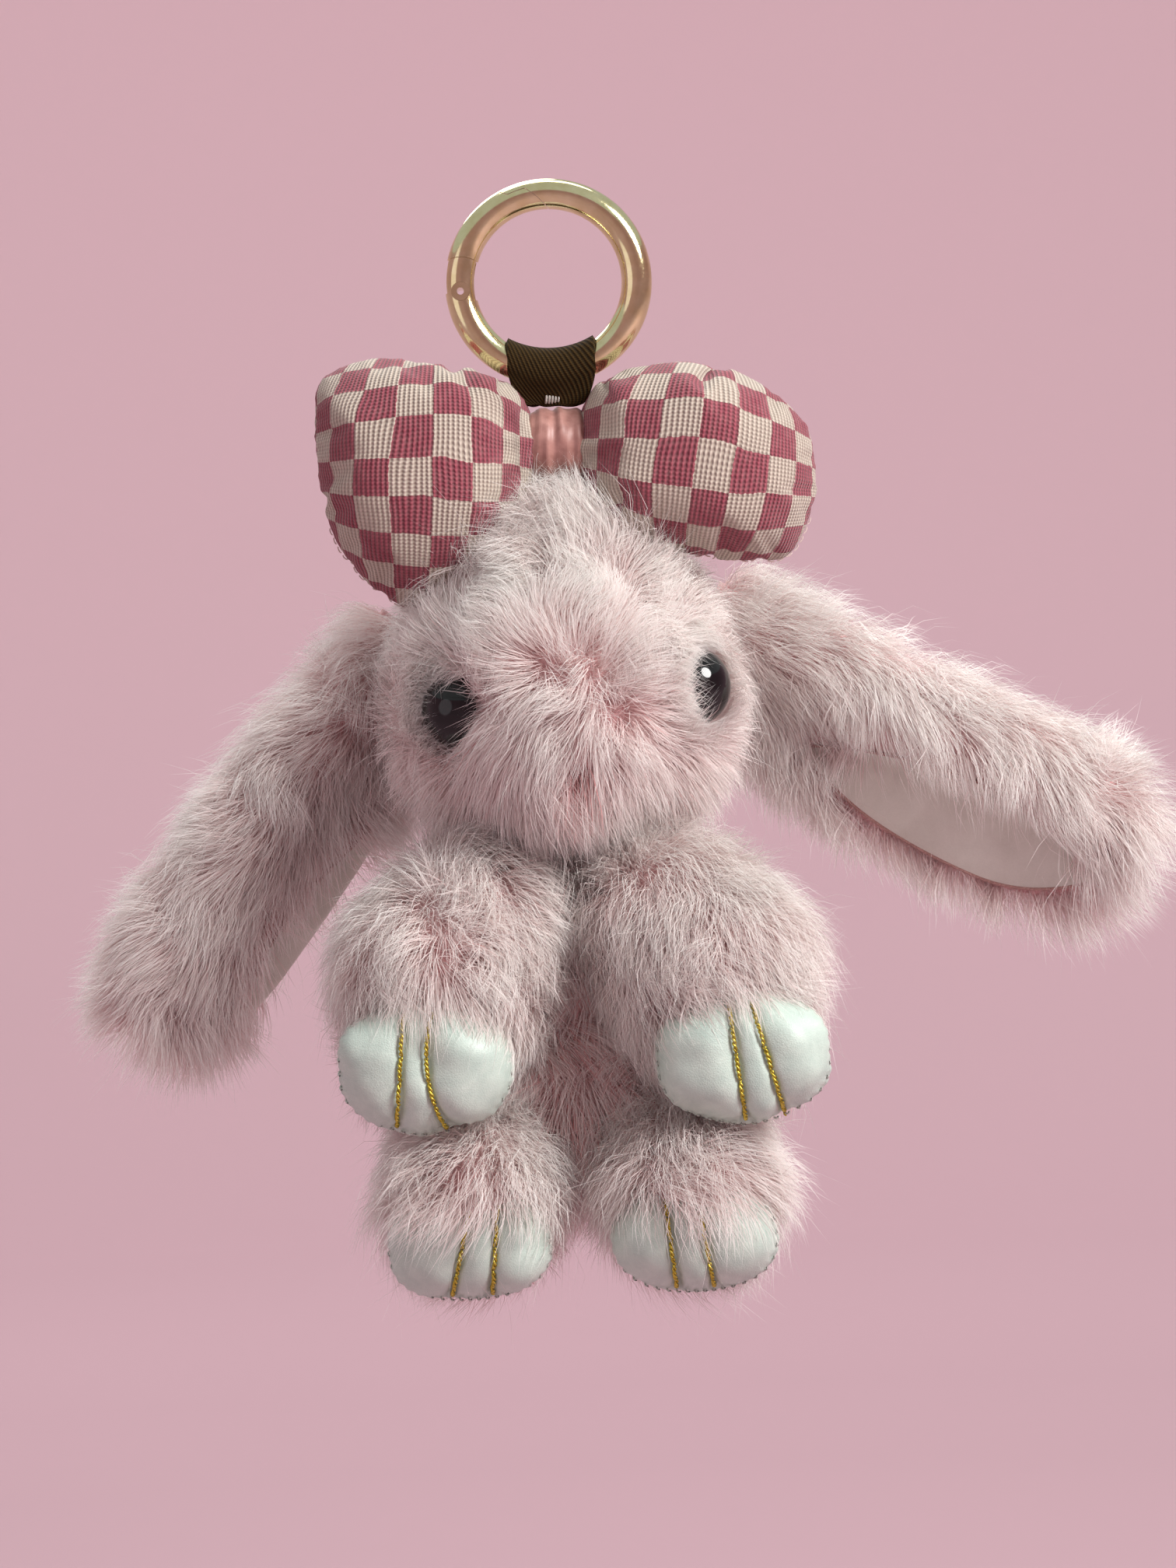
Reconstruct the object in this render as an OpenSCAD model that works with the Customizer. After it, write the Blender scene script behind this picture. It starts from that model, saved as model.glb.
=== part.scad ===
// Fluffy bunny charm on a spring-gate ring, with a padded bow on its head.
// Millimetres, +Z up, front towards -Y. Left and right are as seen from the front.
// The origin is where the ring hangs from: the inside of its top, in the ring's plane.

/* [Ring] */
// Inside diameter of the ring
ring_inner_d = 24.8; // [20:0.2:32]
// Thickness of the ring's wire
wire_d = 5.2; // [4:0.1:6]
// Place of the gate's rivet round the ring, from the right-hand side
rivet_angle = 184.6; // [175:0.2:200]
// Place of the gate's free end round the ring
gate_tip_angle = 98; // [95:1:120]
// Reach of the cheeks past the rivet
cheek_reach = 5.8; // [5:0.1:7]
// Diameter of the rivet's shank
rivet_d = 2.0; // [1.6:0.1:2.4]
// Diameter of the rivet's rolled heads
rivet_head_d = 3.1; // [2.6:0.1:3.6]

/* [Strap] */
// Width of the webbing where it passes over the ring
webbing_w = 14.8; // [10:0.2:16]
// Width of the webbing at its sewn end
webbing_end_w = 7.8; // [6:0.2:12]
// Thickness of one layer of webbing
webbing_t = 1.1; // [0.8:0.1:1.5]
// Width of the satin band round the bow's waist
satin_w = 8; // [6:0.5:9]
// Outside diameter of the satin band
satin_d = 13.6; // [12:0.2:15]

/* [Bow] */
// Reach of each lobe from the middle of the bow
lobe_reach = 43; // [36:1:46]
// Height of each lobe at its outer edge
lobe_h = 35; // [28:1:38]
// Depth of each lobe
lobe_depth = 21.5; // [18:0.5:23]
// Droop of the left lobe's outer edge
left_lobe_droop = 5; // [0:1:8]
// Droop of the right lobe's outer edge
right_lobe_droop = 3; // [0:1:8]

/* [Head] */
// Width of the head over the cheeks
head_w = 58; // [54:1:62]
// Diameter of the skull
skull_d = 52; // [48:1:54]
// Reach of the muzzle in front of the ring's plane
muzzle_reach = 31; // [28:1:34]
// Diameter of each eye's dome
eye_d = 12.4; // [9:0.2:13]
// Turn of the left eye outwards from straight ahead
left_eye_turn = 46; // [40:1:70]
// Turn of the right eye outwards from straight ahead
right_eye_turn = 58; // [40:1:70]

/* [Ears] */
// Length of each ear from its root
ear_len = 86; // [70:1:90]
// Width of each ear
ear_w = 28; // [22:1:30]
// Thickness of each ear
ear_t = 12; // [8:0.5:13]
// Fall of the left ear below level
left_ear_fall = 53; // [30:1:60]
// Fall of the right ear below level
right_ear_fall = 27; // [15:1:60]

/* [Body and legs] */
// Width of the belly
belly_w = 54; // [48:1:56]
// Width of each front paw
front_paw_w = 29.6; // [26:0.2:30]
// Width of each hind paw
hind_paw_w = 27.2; // [24:0.2:28]
// Thickness of the fur fabric, with its pile pressed down
skin_t = 2; // [1.5:0.1:2.5]
// Diameter of the metallic thread of the claws
thread_d = 0.8; // [0.6:0.1:1]

/* [Hidden] */

LEFT = -1;
RIGHT = 1;
// Smoothness of the small and the large soft pieces
SMALL_FN = 18;
LARGE_FN = 24;
GOLD = [0.83, 0.70, 0.50];
FUR = [0.93, 0.80, 0.80];
FIBRE = [0.95, 0.94, 0.92];
LEATHER = [0.91, 0.93, 0.93];
CHECK = [0.76, 0.38, 0.47];

// Ring
wire_r = wire_d / 2;
ring_inner_r = ring_inner_d / 2;
ring_r = ring_inner_r + wire_r;
part_gap = 0.06;
running_gap = 0.05;
// Straight distance from the rivet to the gate's free end
gate_chord = 2 * ring_r * sin((rivet_angle - gate_tip_angle) / 2);
lip_len = 2.4;
lip_r = ring_r + 1.2;
tongue_r = 2.2;
tongue_half_t = 1.1;
slot_gap = 0.12;
spring_bore_r = 1.15;
spring_bore_len = 5;
// The bore is straight, so it leans to stay inside the curved wire
spring_bore_lean = 15;
plunger_len = 1.4;

// Strap
loop_gap = 0.3;
loop_inner_r = wire_r + loop_gap;
loop_outer_r = loop_inner_r + webbing_t;
strap_end_z = -33.3;
satin_z = strap_end_z - 0.3 - satin_d / 2;
satin_t = 0.8;

// Soft pieces: each is the hull of a few balls, listed as [centre, radius]
fibre_gap = 0.1;
socket_gap = 0.4;
lobe_r = lobe_depth / 2;
lobe_in_x = 5 + lobe_r;
lobe_in_h = 27;
lobe_y = -3;
lobe_z = -43.5;
lobe_t = 1;

skull_r = skull_d / 2;
skull_z = -76;
cheek_r = 20;
muzzle_r = 16;
HEAD = [
    [[0, 2, skull_z], skull_r],
    [[cheek_r - head_w / 2, -2, -84], cheek_r],
    [[head_w / 2 - cheek_r, -2, -84], cheek_r],
    [[0, muzzle_r - muzzle_reach, -86], muzzle_r]
];
belly_r = 20;
BODY = [
    [[0, 7, -125], 18],
    [[belly_r - belly_w / 2, 8, -150], belly_r],
    [[belly_w / 2 - belly_r, 8, -150], belly_r]
];

ear_root = [25, 16, -74];
ear_root_r = 6;
ear_twist = 12;

// The left front leg hangs a little nearer the middle than the right one
function front_leg(side) = [
    [[side * 16.3, -11, -120.5], 13.6],
    [[side > 0 ? 23 : -21.8, -14, -129.5], 15.6],
    [[side > 0 ? 26 : -23.6, -20, -140], 11.5]
];
function hind_leg(side) = [
    [[side * 15.4, 4, -158], 14.2],
    [[side * 17.5, -8, -164.5], 12.6],
    [[side * 18.7, -16, -169.5], 10.5]
];
// A leg's balls with the leg turned about its hip, which is its first ball's centre
function lifted(balls, angle) = [
    for (b = balls) let (d = b[0] - balls[0][0])
        [balls[0][0] + [d[0], d[1] * cos(angle) + d[2] * sin(angle), d[2] * cos(angle) - d[1] * sin(angle)],
         b[1]]
];
function front_toes(side) = [side > 0 ? 27 : -24.4, -27, -142.2];
function hind_toes(side) = [side * 18.7, -22.5, -172];
front_toe_drop = 3;
hind_toe_drop = 1.5;
// How far a hind leg swings up and down, which the body leaves room for
hind_lift = 9;
hind_drop = 19;

// Eye: the middle of the flat back of the dome, and its stem
function eye_place(side) = side > 0 ? [23.7, -13.5, -82] : [-18.7, -18.4, -84.5];
function eye_turn(side) = side > 0 ? right_eye_turn : left_eye_turn;
eye_rise = 4;
stem_r = 1.5;
stem_len = 9;
washer_depth = 5;

module in_ring_plane() { translate([0, 0, -ring_inner_r]) rotate([90, 0, 0]) children(); }
module at_rivet() { rotate([0, 0, rivet_angle]) translate([ring_r, 0, 0]) children(); }
module wire(r = wire_r) { rotate_extrude($fn = 96) translate([ring_r, 0]) circle(r, $fn = 48); }
module disc(r, h) { cylinder(h = h, r = r, center = true, $fn = 64); }

// The stretch of the ring that the gate fills. Its ends are arcs round the rivet, so that the gate
// swings inwards freely, and a lip on the outside of its free end keeps it from swinging out.
module gate_zone(gap) {
    difference() {
        at_rivet() intersection() {
            disc(gate_chord + gap, 10);
            translate([-40, -80 + gap, -5]) cube([80, 80, 10]);
        }
        at_rivet() disc(cheek_reach - gap, 12);
        difference() {
            at_rivet() disc(gate_chord + 5, 11);
            at_rivet() disc(gate_chord - lip_len + gap, 12);
            disc(lip_r + gap, 12);
        }
    }
}

// Room for the gate's tongue: open past the rivet and on the ring's inside
module tongue_slot() {
    h = 2 * (tongue_half_t + slot_gap);
    reach = cheek_reach + 1;
    at_rivet() {
        disc(tongue_r + slot_gap, h);
        translate([-4, -reach, -h / 2]) cube([8, reach, h]);
        translate([-4, -reach, -h / 2]) cube([4, reach + 1.7, h]);
    }
}

// Z runs down the spring's bore, from the gate's tongue
module at_bore() {
    at_rivet() translate([-0.15, tongue_r, 0]) rotate([0, 0, spring_bore_lean]) rotate([-90, 0, 0])
        children();
}

module spring_bore() { at_bore() cylinder(h = spring_bore_len, r = spring_bore_r, $fn = 32); }

module ring_body() {
    color(GOLD) in_ring_plane() difference() {
        wire();
        gate_zone(part_gap);
        tongue_slot();
        spring_bore();
        at_rivet() disc(rivet_d / 2, 8);
        for (s = [-1, 1]) at_rivet() translate([0, 0, s * 3]) disc(rivet_head_d / 2 + 0.05, 2);
    }
}

module ring_gate() {
    color(GOLD) in_ring_plane() difference() {
        union() {
            intersection() {
                wire();
                gate_zone(-part_gap);
            }
            intersection() {
                wire(tongue_r);
                at_rivet() translate([-4, -cheek_reach - 1, -tongue_half_t])
                    cube([8, cheek_reach + 1, 2 * tongue_half_t]);
            }
            at_rivet() disc(tongue_r, 2 * tongue_half_t);
        }
        at_rivet() disc(rivet_d / 2 + running_gap, 8);
    }
}

module gate_rivet() {
    color(GOLD) in_ring_plane() at_rivet() difference() {
        union() {
            disc(rivet_d / 2, 5.2);
            for (s = [-1, 1]) translate([0, 0, s * 2.35]) disc(rivet_head_d / 2, 0.7);
        }
        disc(0.6, 8);
    }
}

// The spring's turns, as closed rings
module gate_spring() {
    turns = 5;
    wire = 0.3;
    start = plunger_len + 0.3;
    pitch = (spring_bore_len - plunger_len - 0.6) / turns;
    color("silver") in_ring_plane() at_bore() for (i = [0 : turns - 1])
        translate([0, 0, start + wire + i * pitch])
            rotate_extrude($fn = 32) translate([spring_bore_r - wire - 0.1, 0]) circle(wire / 2, $fn = 16);
}

module gate_plunger() {
    color("silver") in_ring_plane() at_bore() translate([0, 0, 0.2])
        cylinder(h = plunger_len, r = spring_bore_r - 0.05, $fn = 32);
}

// Webbing folded round the bottom of the ring, and tapered where its ends are sewn together
module webbing_loop() {
    depth = 2 * loop_outer_r;
    bottom = ring_inner_r + strap_end_z;
    color([0.24, 0.19, 0.10]) in_ring_plane() difference() {
        intersection() {
            union() {
                intersection() {
                    wire(loop_outer_r);
                    translate([-webbing_w / 2, -30, -depth]) cube([webbing_w, 30, 2 * depth]);
                }
                rotate([0, 90, 0]) linear_extrude(webbing_w, center = true) polygon([
                    [-loop_outer_r + 0.6, -ring_r - 1.5], [loop_outer_r - 0.6, -ring_r - 1.5],
                    [webbing_t, bottom], [-webbing_t, bottom]
                ]);
            }
            linear_extrude(2 * depth, center = true) polygon([
                [-webbing_w / 2, 0], [webbing_w / 2, 0], [webbing_w / 2, -ring_r - 1.2],
                [webbing_end_w / 2, bottom], [-webbing_end_w / 2, bottom], [-webbing_w / 2, -ring_r - 1.2]
            ]);
        }
        wire(loop_inner_r);
    }
}

// A short row of thick stitches that closes the webbing
module webbing_bartack() {
    stitches = 4;
    color([0.75, 0.75, 0.72]) for (i = [0 : stitches - 1])
        translate([(i - (stitches - 1) / 2) * 0.6, 0, strap_end_z + 0.9]) rotate([90, 0, 0])
            cylinder(h = 4.4, r = 0.25, center = true, $fn = 16);
}

module satin_band() {
    color([0.88, 0.62, 0.60]) translate([0, 0, satin_z]) rotate([0, 90, 0]) difference() {
        disc(satin_d / 2, satin_w);
        disc(satin_d / 2 - satin_t, satin_w + 2);
    }
}

// The pinched middle of the bow, inside the satin band
module bow_waist() {
    color(CHECK) translate([0, 0, satin_z]) rotate([0, 90, 0])
        disc(satin_d / 2 - satin_t - fibre_gap, satin_w + 1);
}

module blob(balls, grow = 0, fn = SMALL_FN) {
    hull() for (b = balls) translate(b[0]) sphere(b[1] + grow, $fn = fn);
}

function lobe(side, droop) = [
    for (up = [-1, 1]) each [
        [[side * lobe_in_x, lobe_y, lobe_z + up * (lobe_in_h / 2 - lobe_r)], lobe_r],
        [[side * (lobe_reach - lobe_r), lobe_y, lobe_z + up * (lobe_h / 2 - lobe_r) - droop], lobe_r]
    ]
];

module bow_cover(side, droop) {
    color(CHECK) difference() {
        blob(lobe(side, droop));
        blob(lobe(side, droop), -lobe_t);
    }
}

module bow_stuffing(side, droop) {
    color(FIBRE) blob(lobe(side, droop), -lobe_t - fibre_gap);
}

// Room in the head for the bow's lobes and the roots of the ears
module head_rooms() {
    blob(lobe(LEFT, left_lobe_droop), socket_gap);
    blob(lobe(RIGHT, right_lobe_droop), socket_gap);
    for (s = [LEFT, RIGHT]) ear_sweep(s);
}

// Everything that the inner half of an ear passes through as it swings at its root
module ear_sweep(side) {
    translate([side * ear_root[0], ear_root[1], ear_root[2]]) {
        sphere(ear_root_r + socket_gap, $fn = 48);
        rotate([90, 0, 0]) intersection() {
            disc(40, 2 * ear_root_r + 4.4);
            translate([side > 0 ? -6 : -54, -60, -20]) cube([60, 120, 40]);
        }
    }
}

module at_eye(side) {
    translate(eye_place(side)) rotate([0, 0, side * eye_turn(side)]) rotate([90, 0, 0]) children();
}

module head_cover() {
    color(FUR) difference() {
        blob(HEAD, 0, LARGE_FN);
        blob(HEAD, -skin_t, LARGE_FN);
        head_rooms();
        for (s = [LEFT, RIGHT]) at_eye(s) {
            translate([0, 0, 10 - 0.05]) disc(eye_d / 2 + 0.2, 20);
            disc(stem_r + 0.1, 30);
        }
    }
}

module head_stuffing() {
    color(FIBRE) difference() {
        blob(HEAD, -skin_t - fibre_gap, LARGE_FN);
        head_rooms();
        for (s = [LEFT, RIGHT]) at_eye(s) {
            translate([0, 0, 10 - 0.05]) disc(eye_d / 2 + 0.2, 20);
            disc(stem_r + 0.1, 2 * stem_len + 0.4);
            translate([0, 0, -washer_depth]) disc(5.2, 1.4);
        }
    }
}

// A glossy dome on a stem that a washer holds from inside
module eye(side) {
    ball_r = (eye_rise * eye_rise + eye_d * eye_d / 4) / (2 * eye_rise);
    color([0.02, 0.02, 0.025]) at_eye(side) {
        intersection() {
            translate([0, 0, eye_rise - ball_r]) sphere(ball_r, $fn = 64);
            translate([0, 0, 5]) disc(10, 10);
        }
        translate([0, 0, -stem_len / 2]) disc(stem_r, stem_len);
    }
}

module eye_washer(side) {
    color([0.9, 0.9, 0.9]) at_eye(side) translate([0, 0, -washer_depth]) difference() {
        disc(5, 1);
        disc(stem_r + 0.05, 3);
    }
}

function ear_balls() = [
    [[0, 0, 0], ear_root_r],
    for (p = [[24, ear_w / 2 - 1.5], [54, ear_w / 2], [ear_len - 11, ear_w / 2 - 3.5]], v = [-1, 1])
        [[p[0], 0, v * (p[1] - ear_t / 2)], ear_t / 2],
    [[ear_len - ear_t / 2, 0, 0], ear_t / 2]
];

// An ear's own frame: X along it from its root, Z across it, its lining towards -Y
module at_ear(side, fall) {
    mirror([side > 0 ? 0 : 1, 0, 0]) translate(ear_root) rotate([0, fall, 0]) rotate([ear_twist, 0, 0])
        children();
}

module ear_fur(side, fall) {
    color(FUR) at_ear(side, fall) blob(ear_balls());
}

// A smooth leaf-shaped lining on the ear's flat front
module ear_lining(side, fall) {
    half_len = 27;
    half_w = 8.5;
    arc_r = (half_len * half_len + half_w * half_w) / (2 * half_w);
    color([0.93, 0.91, 0.87]) at_ear(side, fall) translate([50, -ear_t / 2 - 0.4 - fibre_gap, 0])
        rotate([90, 0, 0]) intersection() {
            translate([0, arc_r - half_w, 0]) cylinder(h = 0.8, r = arc_r, center = true, $fn = 96);
            translate([0, half_w - arc_r, 0]) cylinder(h = 0.8, r = arc_r, center = true, $fn = 96);
        }
}

module leg_rooms() {
    for (s = [LEFT, RIGHT]) {
        blob(front_leg(s), socket_gap);
        blob(concat(lifted(hind_leg(s), -hind_lift), lifted(hind_leg(s), hind_drop)), socket_gap);
    }
}

module body_cover() {
    color(FUR) difference() {
        blob(BODY, 0, LARGE_FN);
        blob(BODY, -skin_t, LARGE_FN);
        leg_rooms();
    }
}

module body_stuffing() {
    color(FIBRE) difference() {
        blob(BODY, -skin_t - fibre_gap, LARGE_FN);
        leg_rooms();
    }
}

module leg_cover(balls) {
    color(FUR) difference() {
        blob(balls);
        blob(balls, -skin_t);
    }
}

module leg_stuffing(balls) { color(FIBRE) blob(balls, -skin_t - fibre_gap); }

// A paw's place, toe radius, and half of its toes' upright length: three toes side by side
module paw(side, place, paw_w, drop, balls) {
    toe_r = paw_w * 0.26;
    step = paw_w / 2 - toe_r;
    color(LEATHER) difference() {
        for (i = [-1 : 1]) hull() for (z = [-drop, drop])
            translate(place + [i * step, 0, z]) sphere(toe_r, $fn = SMALL_FN);
        blob(balls, 0.2);
    }
}

// Two lines of metallic thread, in the furrows between the toes
module claws(side, place, paw_w, drop) {
    toe_r = paw_w * 0.26;
    step = paw_w / 2 - toe_r;
    furrow_r = sqrt(toe_r * toe_r - step * step / 4) + 0.1;
    color([0.78, 0.65, 0.20]) for (i = [-1, 1])
        translate(place + [i * step / 2, 0, 0]) {
            translate([0, -furrow_r, 0]) cylinder(h = 2 * drop, r = thread_d / 2, center = true, $fn = 24);
            for (up = [0, 1]) mirror([0, 0, up]) translate([0, 0, -drop]) rotate([0, 90, 0])
                rotate([0, 0, -90]) rotate_extrude(angle = up == 1 ? 40 : 75, $fn = 48)
                    translate([furrow_r, 0]) circle(thread_d / 2, $fn = 24);
        }
}

// Small stitches along the outer edge of a paw
module stitches(side, place, paw_w, drop) {
    toe_r = paw_w * 0.26;
    step = paw_w / 2 - toe_r;
    count = 6;
    color([0.85, 0.86, 0.84]) for (i = [0 : count - 1])
        translate(place + [side * step, 0, -drop]) rotate([0, side * (i * 13 - 6), 0])
            rotate([0, 0, side * 12]) translate([side * toe_r, 0, 0]) rotate([0, 90, 0])
                cylinder(h = 0.5, r = 0.45, center = true, $fn = 16);
}

ring_body();
ring_gate();
gate_rivet();
gate_spring();
gate_plunger();
webbing_loop();
webbing_bartack();
satin_band();
bow_waist();
bow_cover(LEFT, left_lobe_droop);  // bow_left_cover
bow_stuffing(LEFT, left_lobe_droop);  // bow_left_stuffing
bow_cover(RIGHT, right_lobe_droop);  // bow_right_cover
bow_stuffing(RIGHT, right_lobe_droop);  // bow_right_stuffing
head_cover();
head_stuffing();
eye(LEFT);  // eye_left
eye(RIGHT);  // eye_right
eye_washer(LEFT);  // eye_left_washer
eye_washer(RIGHT);  // eye_right_washer
ear_fur(LEFT, left_ear_fall);  // ear_left_fur
ear_lining(LEFT, left_ear_fall);  // ear_left_lining
ear_fur(RIGHT, right_ear_fall);  // ear_right_fur
ear_lining(RIGHT, right_ear_fall);  // ear_right_lining
body_cover();
body_stuffing();
leg_cover(front_leg(LEFT));  // front_left_cover
leg_stuffing(front_leg(LEFT));  // front_left_stuffing
paw(LEFT, front_toes(LEFT), front_paw_w, front_toe_drop, front_leg(LEFT));  // front_left_paw
claws(LEFT, front_toes(LEFT), front_paw_w, front_toe_drop);  // front_left_claws
stitches(LEFT, front_toes(LEFT), front_paw_w, front_toe_drop);  // front_left_stitches
leg_cover(front_leg(RIGHT));  // front_right_cover
leg_stuffing(front_leg(RIGHT));  // front_right_stuffing
paw(RIGHT, front_toes(RIGHT), front_paw_w, front_toe_drop, front_leg(RIGHT));  // front_right_paw
claws(RIGHT, front_toes(RIGHT), front_paw_w, front_toe_drop);  // front_right_claws
stitches(RIGHT, front_toes(RIGHT), front_paw_w, front_toe_drop);  // front_right_stitches
leg_cover(hind_leg(LEFT));  // hind_left_cover
leg_stuffing(hind_leg(LEFT));  // hind_left_stuffing
paw(LEFT, hind_toes(LEFT), hind_paw_w, hind_toe_drop, hind_leg(LEFT));  // hind_left_paw
claws(LEFT, hind_toes(LEFT), hind_paw_w, hind_toe_drop);  // hind_left_claws
stitches(LEFT, hind_toes(LEFT), hind_paw_w, hind_toe_drop);  // hind_left_stitches
leg_cover(hind_leg(RIGHT));  // hind_right_cover
leg_stuffing(hind_leg(RIGHT));  // hind_right_stuffing
paw(RIGHT, hind_toes(RIGHT), hind_paw_w, hind_toe_drop, hind_leg(RIGHT));  // hind_right_paw
claws(RIGHT, hind_toes(RIGHT), hind_paw_w, hind_toe_drop);  // hind_right_claws
stitches(RIGHT, hind_toes(RIGHT), hind_paw_w, hind_toe_drop);  // hind_right_stitches
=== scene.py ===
"""Looks for the fluffy bunny charm: fur, check bow, leather paws, webbing, satin and a gold ring.

Lengths are in millimetres until a mesh is made, in the part's own frame: +Z up, front towards -Y.
"""

import math

import bmesh
import bpy
import numpy as np
from mathutils import Matrix, Vector
from mathutils.kdtree import KDTree


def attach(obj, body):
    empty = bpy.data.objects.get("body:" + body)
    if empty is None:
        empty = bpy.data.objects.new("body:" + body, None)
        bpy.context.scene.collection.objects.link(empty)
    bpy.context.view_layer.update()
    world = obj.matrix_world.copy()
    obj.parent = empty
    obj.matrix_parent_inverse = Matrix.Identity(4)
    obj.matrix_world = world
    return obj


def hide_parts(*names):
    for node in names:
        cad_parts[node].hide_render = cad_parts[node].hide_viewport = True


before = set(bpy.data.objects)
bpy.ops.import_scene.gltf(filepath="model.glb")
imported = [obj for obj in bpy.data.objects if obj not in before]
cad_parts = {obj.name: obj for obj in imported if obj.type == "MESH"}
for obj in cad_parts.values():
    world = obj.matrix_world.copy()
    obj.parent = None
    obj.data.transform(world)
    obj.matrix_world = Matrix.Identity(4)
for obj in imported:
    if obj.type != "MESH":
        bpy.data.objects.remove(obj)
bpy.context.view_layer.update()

MM = 0.001
SIDES = {"left": -1.0, "right": 1.0}

FUR_SHARE = 1.0


# ---------------------------------------------------------------- camera, light and stage

MIDDLE = np.array([3.6, 0.0, -97.9])
CAMERA_LENS = 100.0
CAMERA_FAR = 742.0
CAMERA_ROLL = math.radians(2.1)
CAMERA_RISE = math.radians(1.0)


def make_camera():
    data = bpy.data.cameras.new("camera")
    data.lens = CAMERA_LENS
    data.sensor_width = 36.0
    data.clip_start, data.clip_end = 0.01, 20.0
    camera = bpy.data.objects.new("camera", data)
    bpy.context.scene.collection.objects.link(camera)
    back = Vector((0, -math.cos(CAMERA_RISE), math.sin(CAMERA_RISE)))
    look = (-back).to_track_quat("-Z", "Y").to_matrix().to_4x4()
    roll = Matrix.Rotation(-CAMERA_ROLL, 4, "Z")
    camera.matrix_world = Matrix.Translation(Vector(MIDDLE * MM) + back * CAMERA_FAR * MM) @ look @ roll
    bpy.context.scene.camera = camera


def area_light(name, place, target, size, power, colour=(1, 1, 1)):
    data = bpy.data.lights.new(name, "AREA")
    data.shape = "DISK"
    data.size = size
    data.energy = power
    data.color = colour
    light = bpy.data.objects.new(name, data)
    bpy.context.scene.collection.objects.link(light)
    light.location = place
    light.visible_camera = False
    light.rotation_euler = (Vector(target) - Vector(place)).to_track_quat("-Z", "Y").to_euler()


def make_light():
    """A key light from the upper right, a weak cool fill, a rim light, and a wash over the backdrop."""
    middle = (0, 0, -0.1)
    area_light("key", (0.72, -0.5, 0.5), middle, 0.5, 14.0, (1.0, 0.99, 0.97))
    area_light("fill", (-0.75, -0.6, 0.05), middle, 0.7, 0.7, (0.94, 0.98, 1.0))
    area_light("rim", (-0.2, 0.6, 0.5), middle, 0.5, 3.0)
    area_light("wall_wash", (0, 0.35, 1.0), (0, 1.7, 0.0), 0.9, 9.0)
    world = bpy.data.worlds.new("soft_room")
    bpy.context.scene.world = world
    world.use_nodes = True
    tree = world.node_tree
    sky = tree.nodes["Background"]
    coord = tree.nodes.new("ShaderNodeTexCoord")
    split = tree.nodes.new("ShaderNodeSeparateXYZ")
    ramp = tree.nodes.new("ShaderNodeValToRGB")
    ramp.color_ramp.elements[0].position = 0.30
    ramp.color_ramp.elements[0].color = (0.30, 0.27, 0.27, 1)
    ramp.color_ramp.elements[1].position = 0.62
    ramp.color_ramp.elements[1].color = (0.96, 1.0, 1.0, 1)
    half = tree.nodes.new("ShaderNodeMath")
    half.operation = "MULTIPLY_ADD"
    half.inputs[1].default_value = 0.5
    half.inputs[2].default_value = 0.5
    tree.links.new(coord.outputs["Generated"], split.inputs[0])
    tree.links.new(split.outputs["Z"], half.inputs[0])
    tree.links.new(half.outputs[0], ramp.inputs[0])
    tree.links.new(ramp.outputs[0], sky.inputs["Color"])
    sky.inputs["Strength"].default_value = 0.5
    bpy.context.scene.view_settings.view_transform = "Standard"


def make_stage():
    """A pale round floor that curves up all round into a low pale wall."""
    floor_z, wall_r, bend, top = -0.30, 1.7, 0.7, 0.75
    profile = [(0.0, floor_z), (0.5, floor_z), (wall_r - bend, floor_z)]
    for i in range(1, 16):
        a = math.pi / 2 * i / 16
        profile.append((wall_r - bend + bend * math.sin(a), floor_z + bend - bend * math.cos(a)))
    profile.append((wall_r, top))
    sides = 96
    turns = [2 * math.pi * k / sides for k in range(sides)]
    verts = [(0, 0, floor_z)] + [(r * math.cos(a), r * math.sin(a), z) for r, z in profile[1:] for a in turns]
    faces = [(0, 1 + k, 1 + (k + 1) % sides) for k in range(sides)]
    for i in range(len(profile) - 2):
        low, high = 1 + i * sides, 1 + (i + 1) * sides
        faces += [(low + k, high + k, high + (k + 1) % sides, low + (k + 1) % sides) for k in range(sides)]
    mesh = bpy.data.meshes.new("backdrop")
    mesh.from_pydata(verts, [], faces)
    for p in mesh.polygons:
        p.use_smooth = True
    backdrop = bpy.data.objects.new("backdrop", mesh)
    bpy.context.scene.collection.objects.link(backdrop)
    s = Shader("backdrop", 0.95)
    split = s.node("SeparateXYZ")
    s.link(s.object_place(1.0), split.inputs[0])
    x, y = split.outputs["X"], split.outputs["Y"]
    far = s.math("DIVIDE", s.math("SQRT", s.math("MULTIPLY_ADD", x, x, s.math("MULTIPLY", y, y))), wall_r)
    # The colour is darker towards the middle of the floor and lighter up the wall: painted shade that evens
    # out the stronger light on the floor.
    s.colour(s.ramp(far, [(0.29, (0.400, 0.256, 0.288, 1)), (0.376, (0.425, 0.272, 0.307, 1)),
                          (0.476, (0.48, 0.311, 0.35, 1)), (0.606, (0.55, 0.361, 0.405, 1)),
                          (0.8, (0.595, 0.402, 0.444, 1)), (1.0, (0.62, 0.423, 0.465, 1))]))
    mesh.materials.append(s.mat)


# ---------------------------------------------------------------- material helpers

def srgb(r, g, b):
    """A colour given as 0 to 255, as a linear RGBA."""
    return tuple(((c / 255 + 0.055) / 1.055) ** 2.4 for c in (r, g, b)) + (1.0,)


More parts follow.
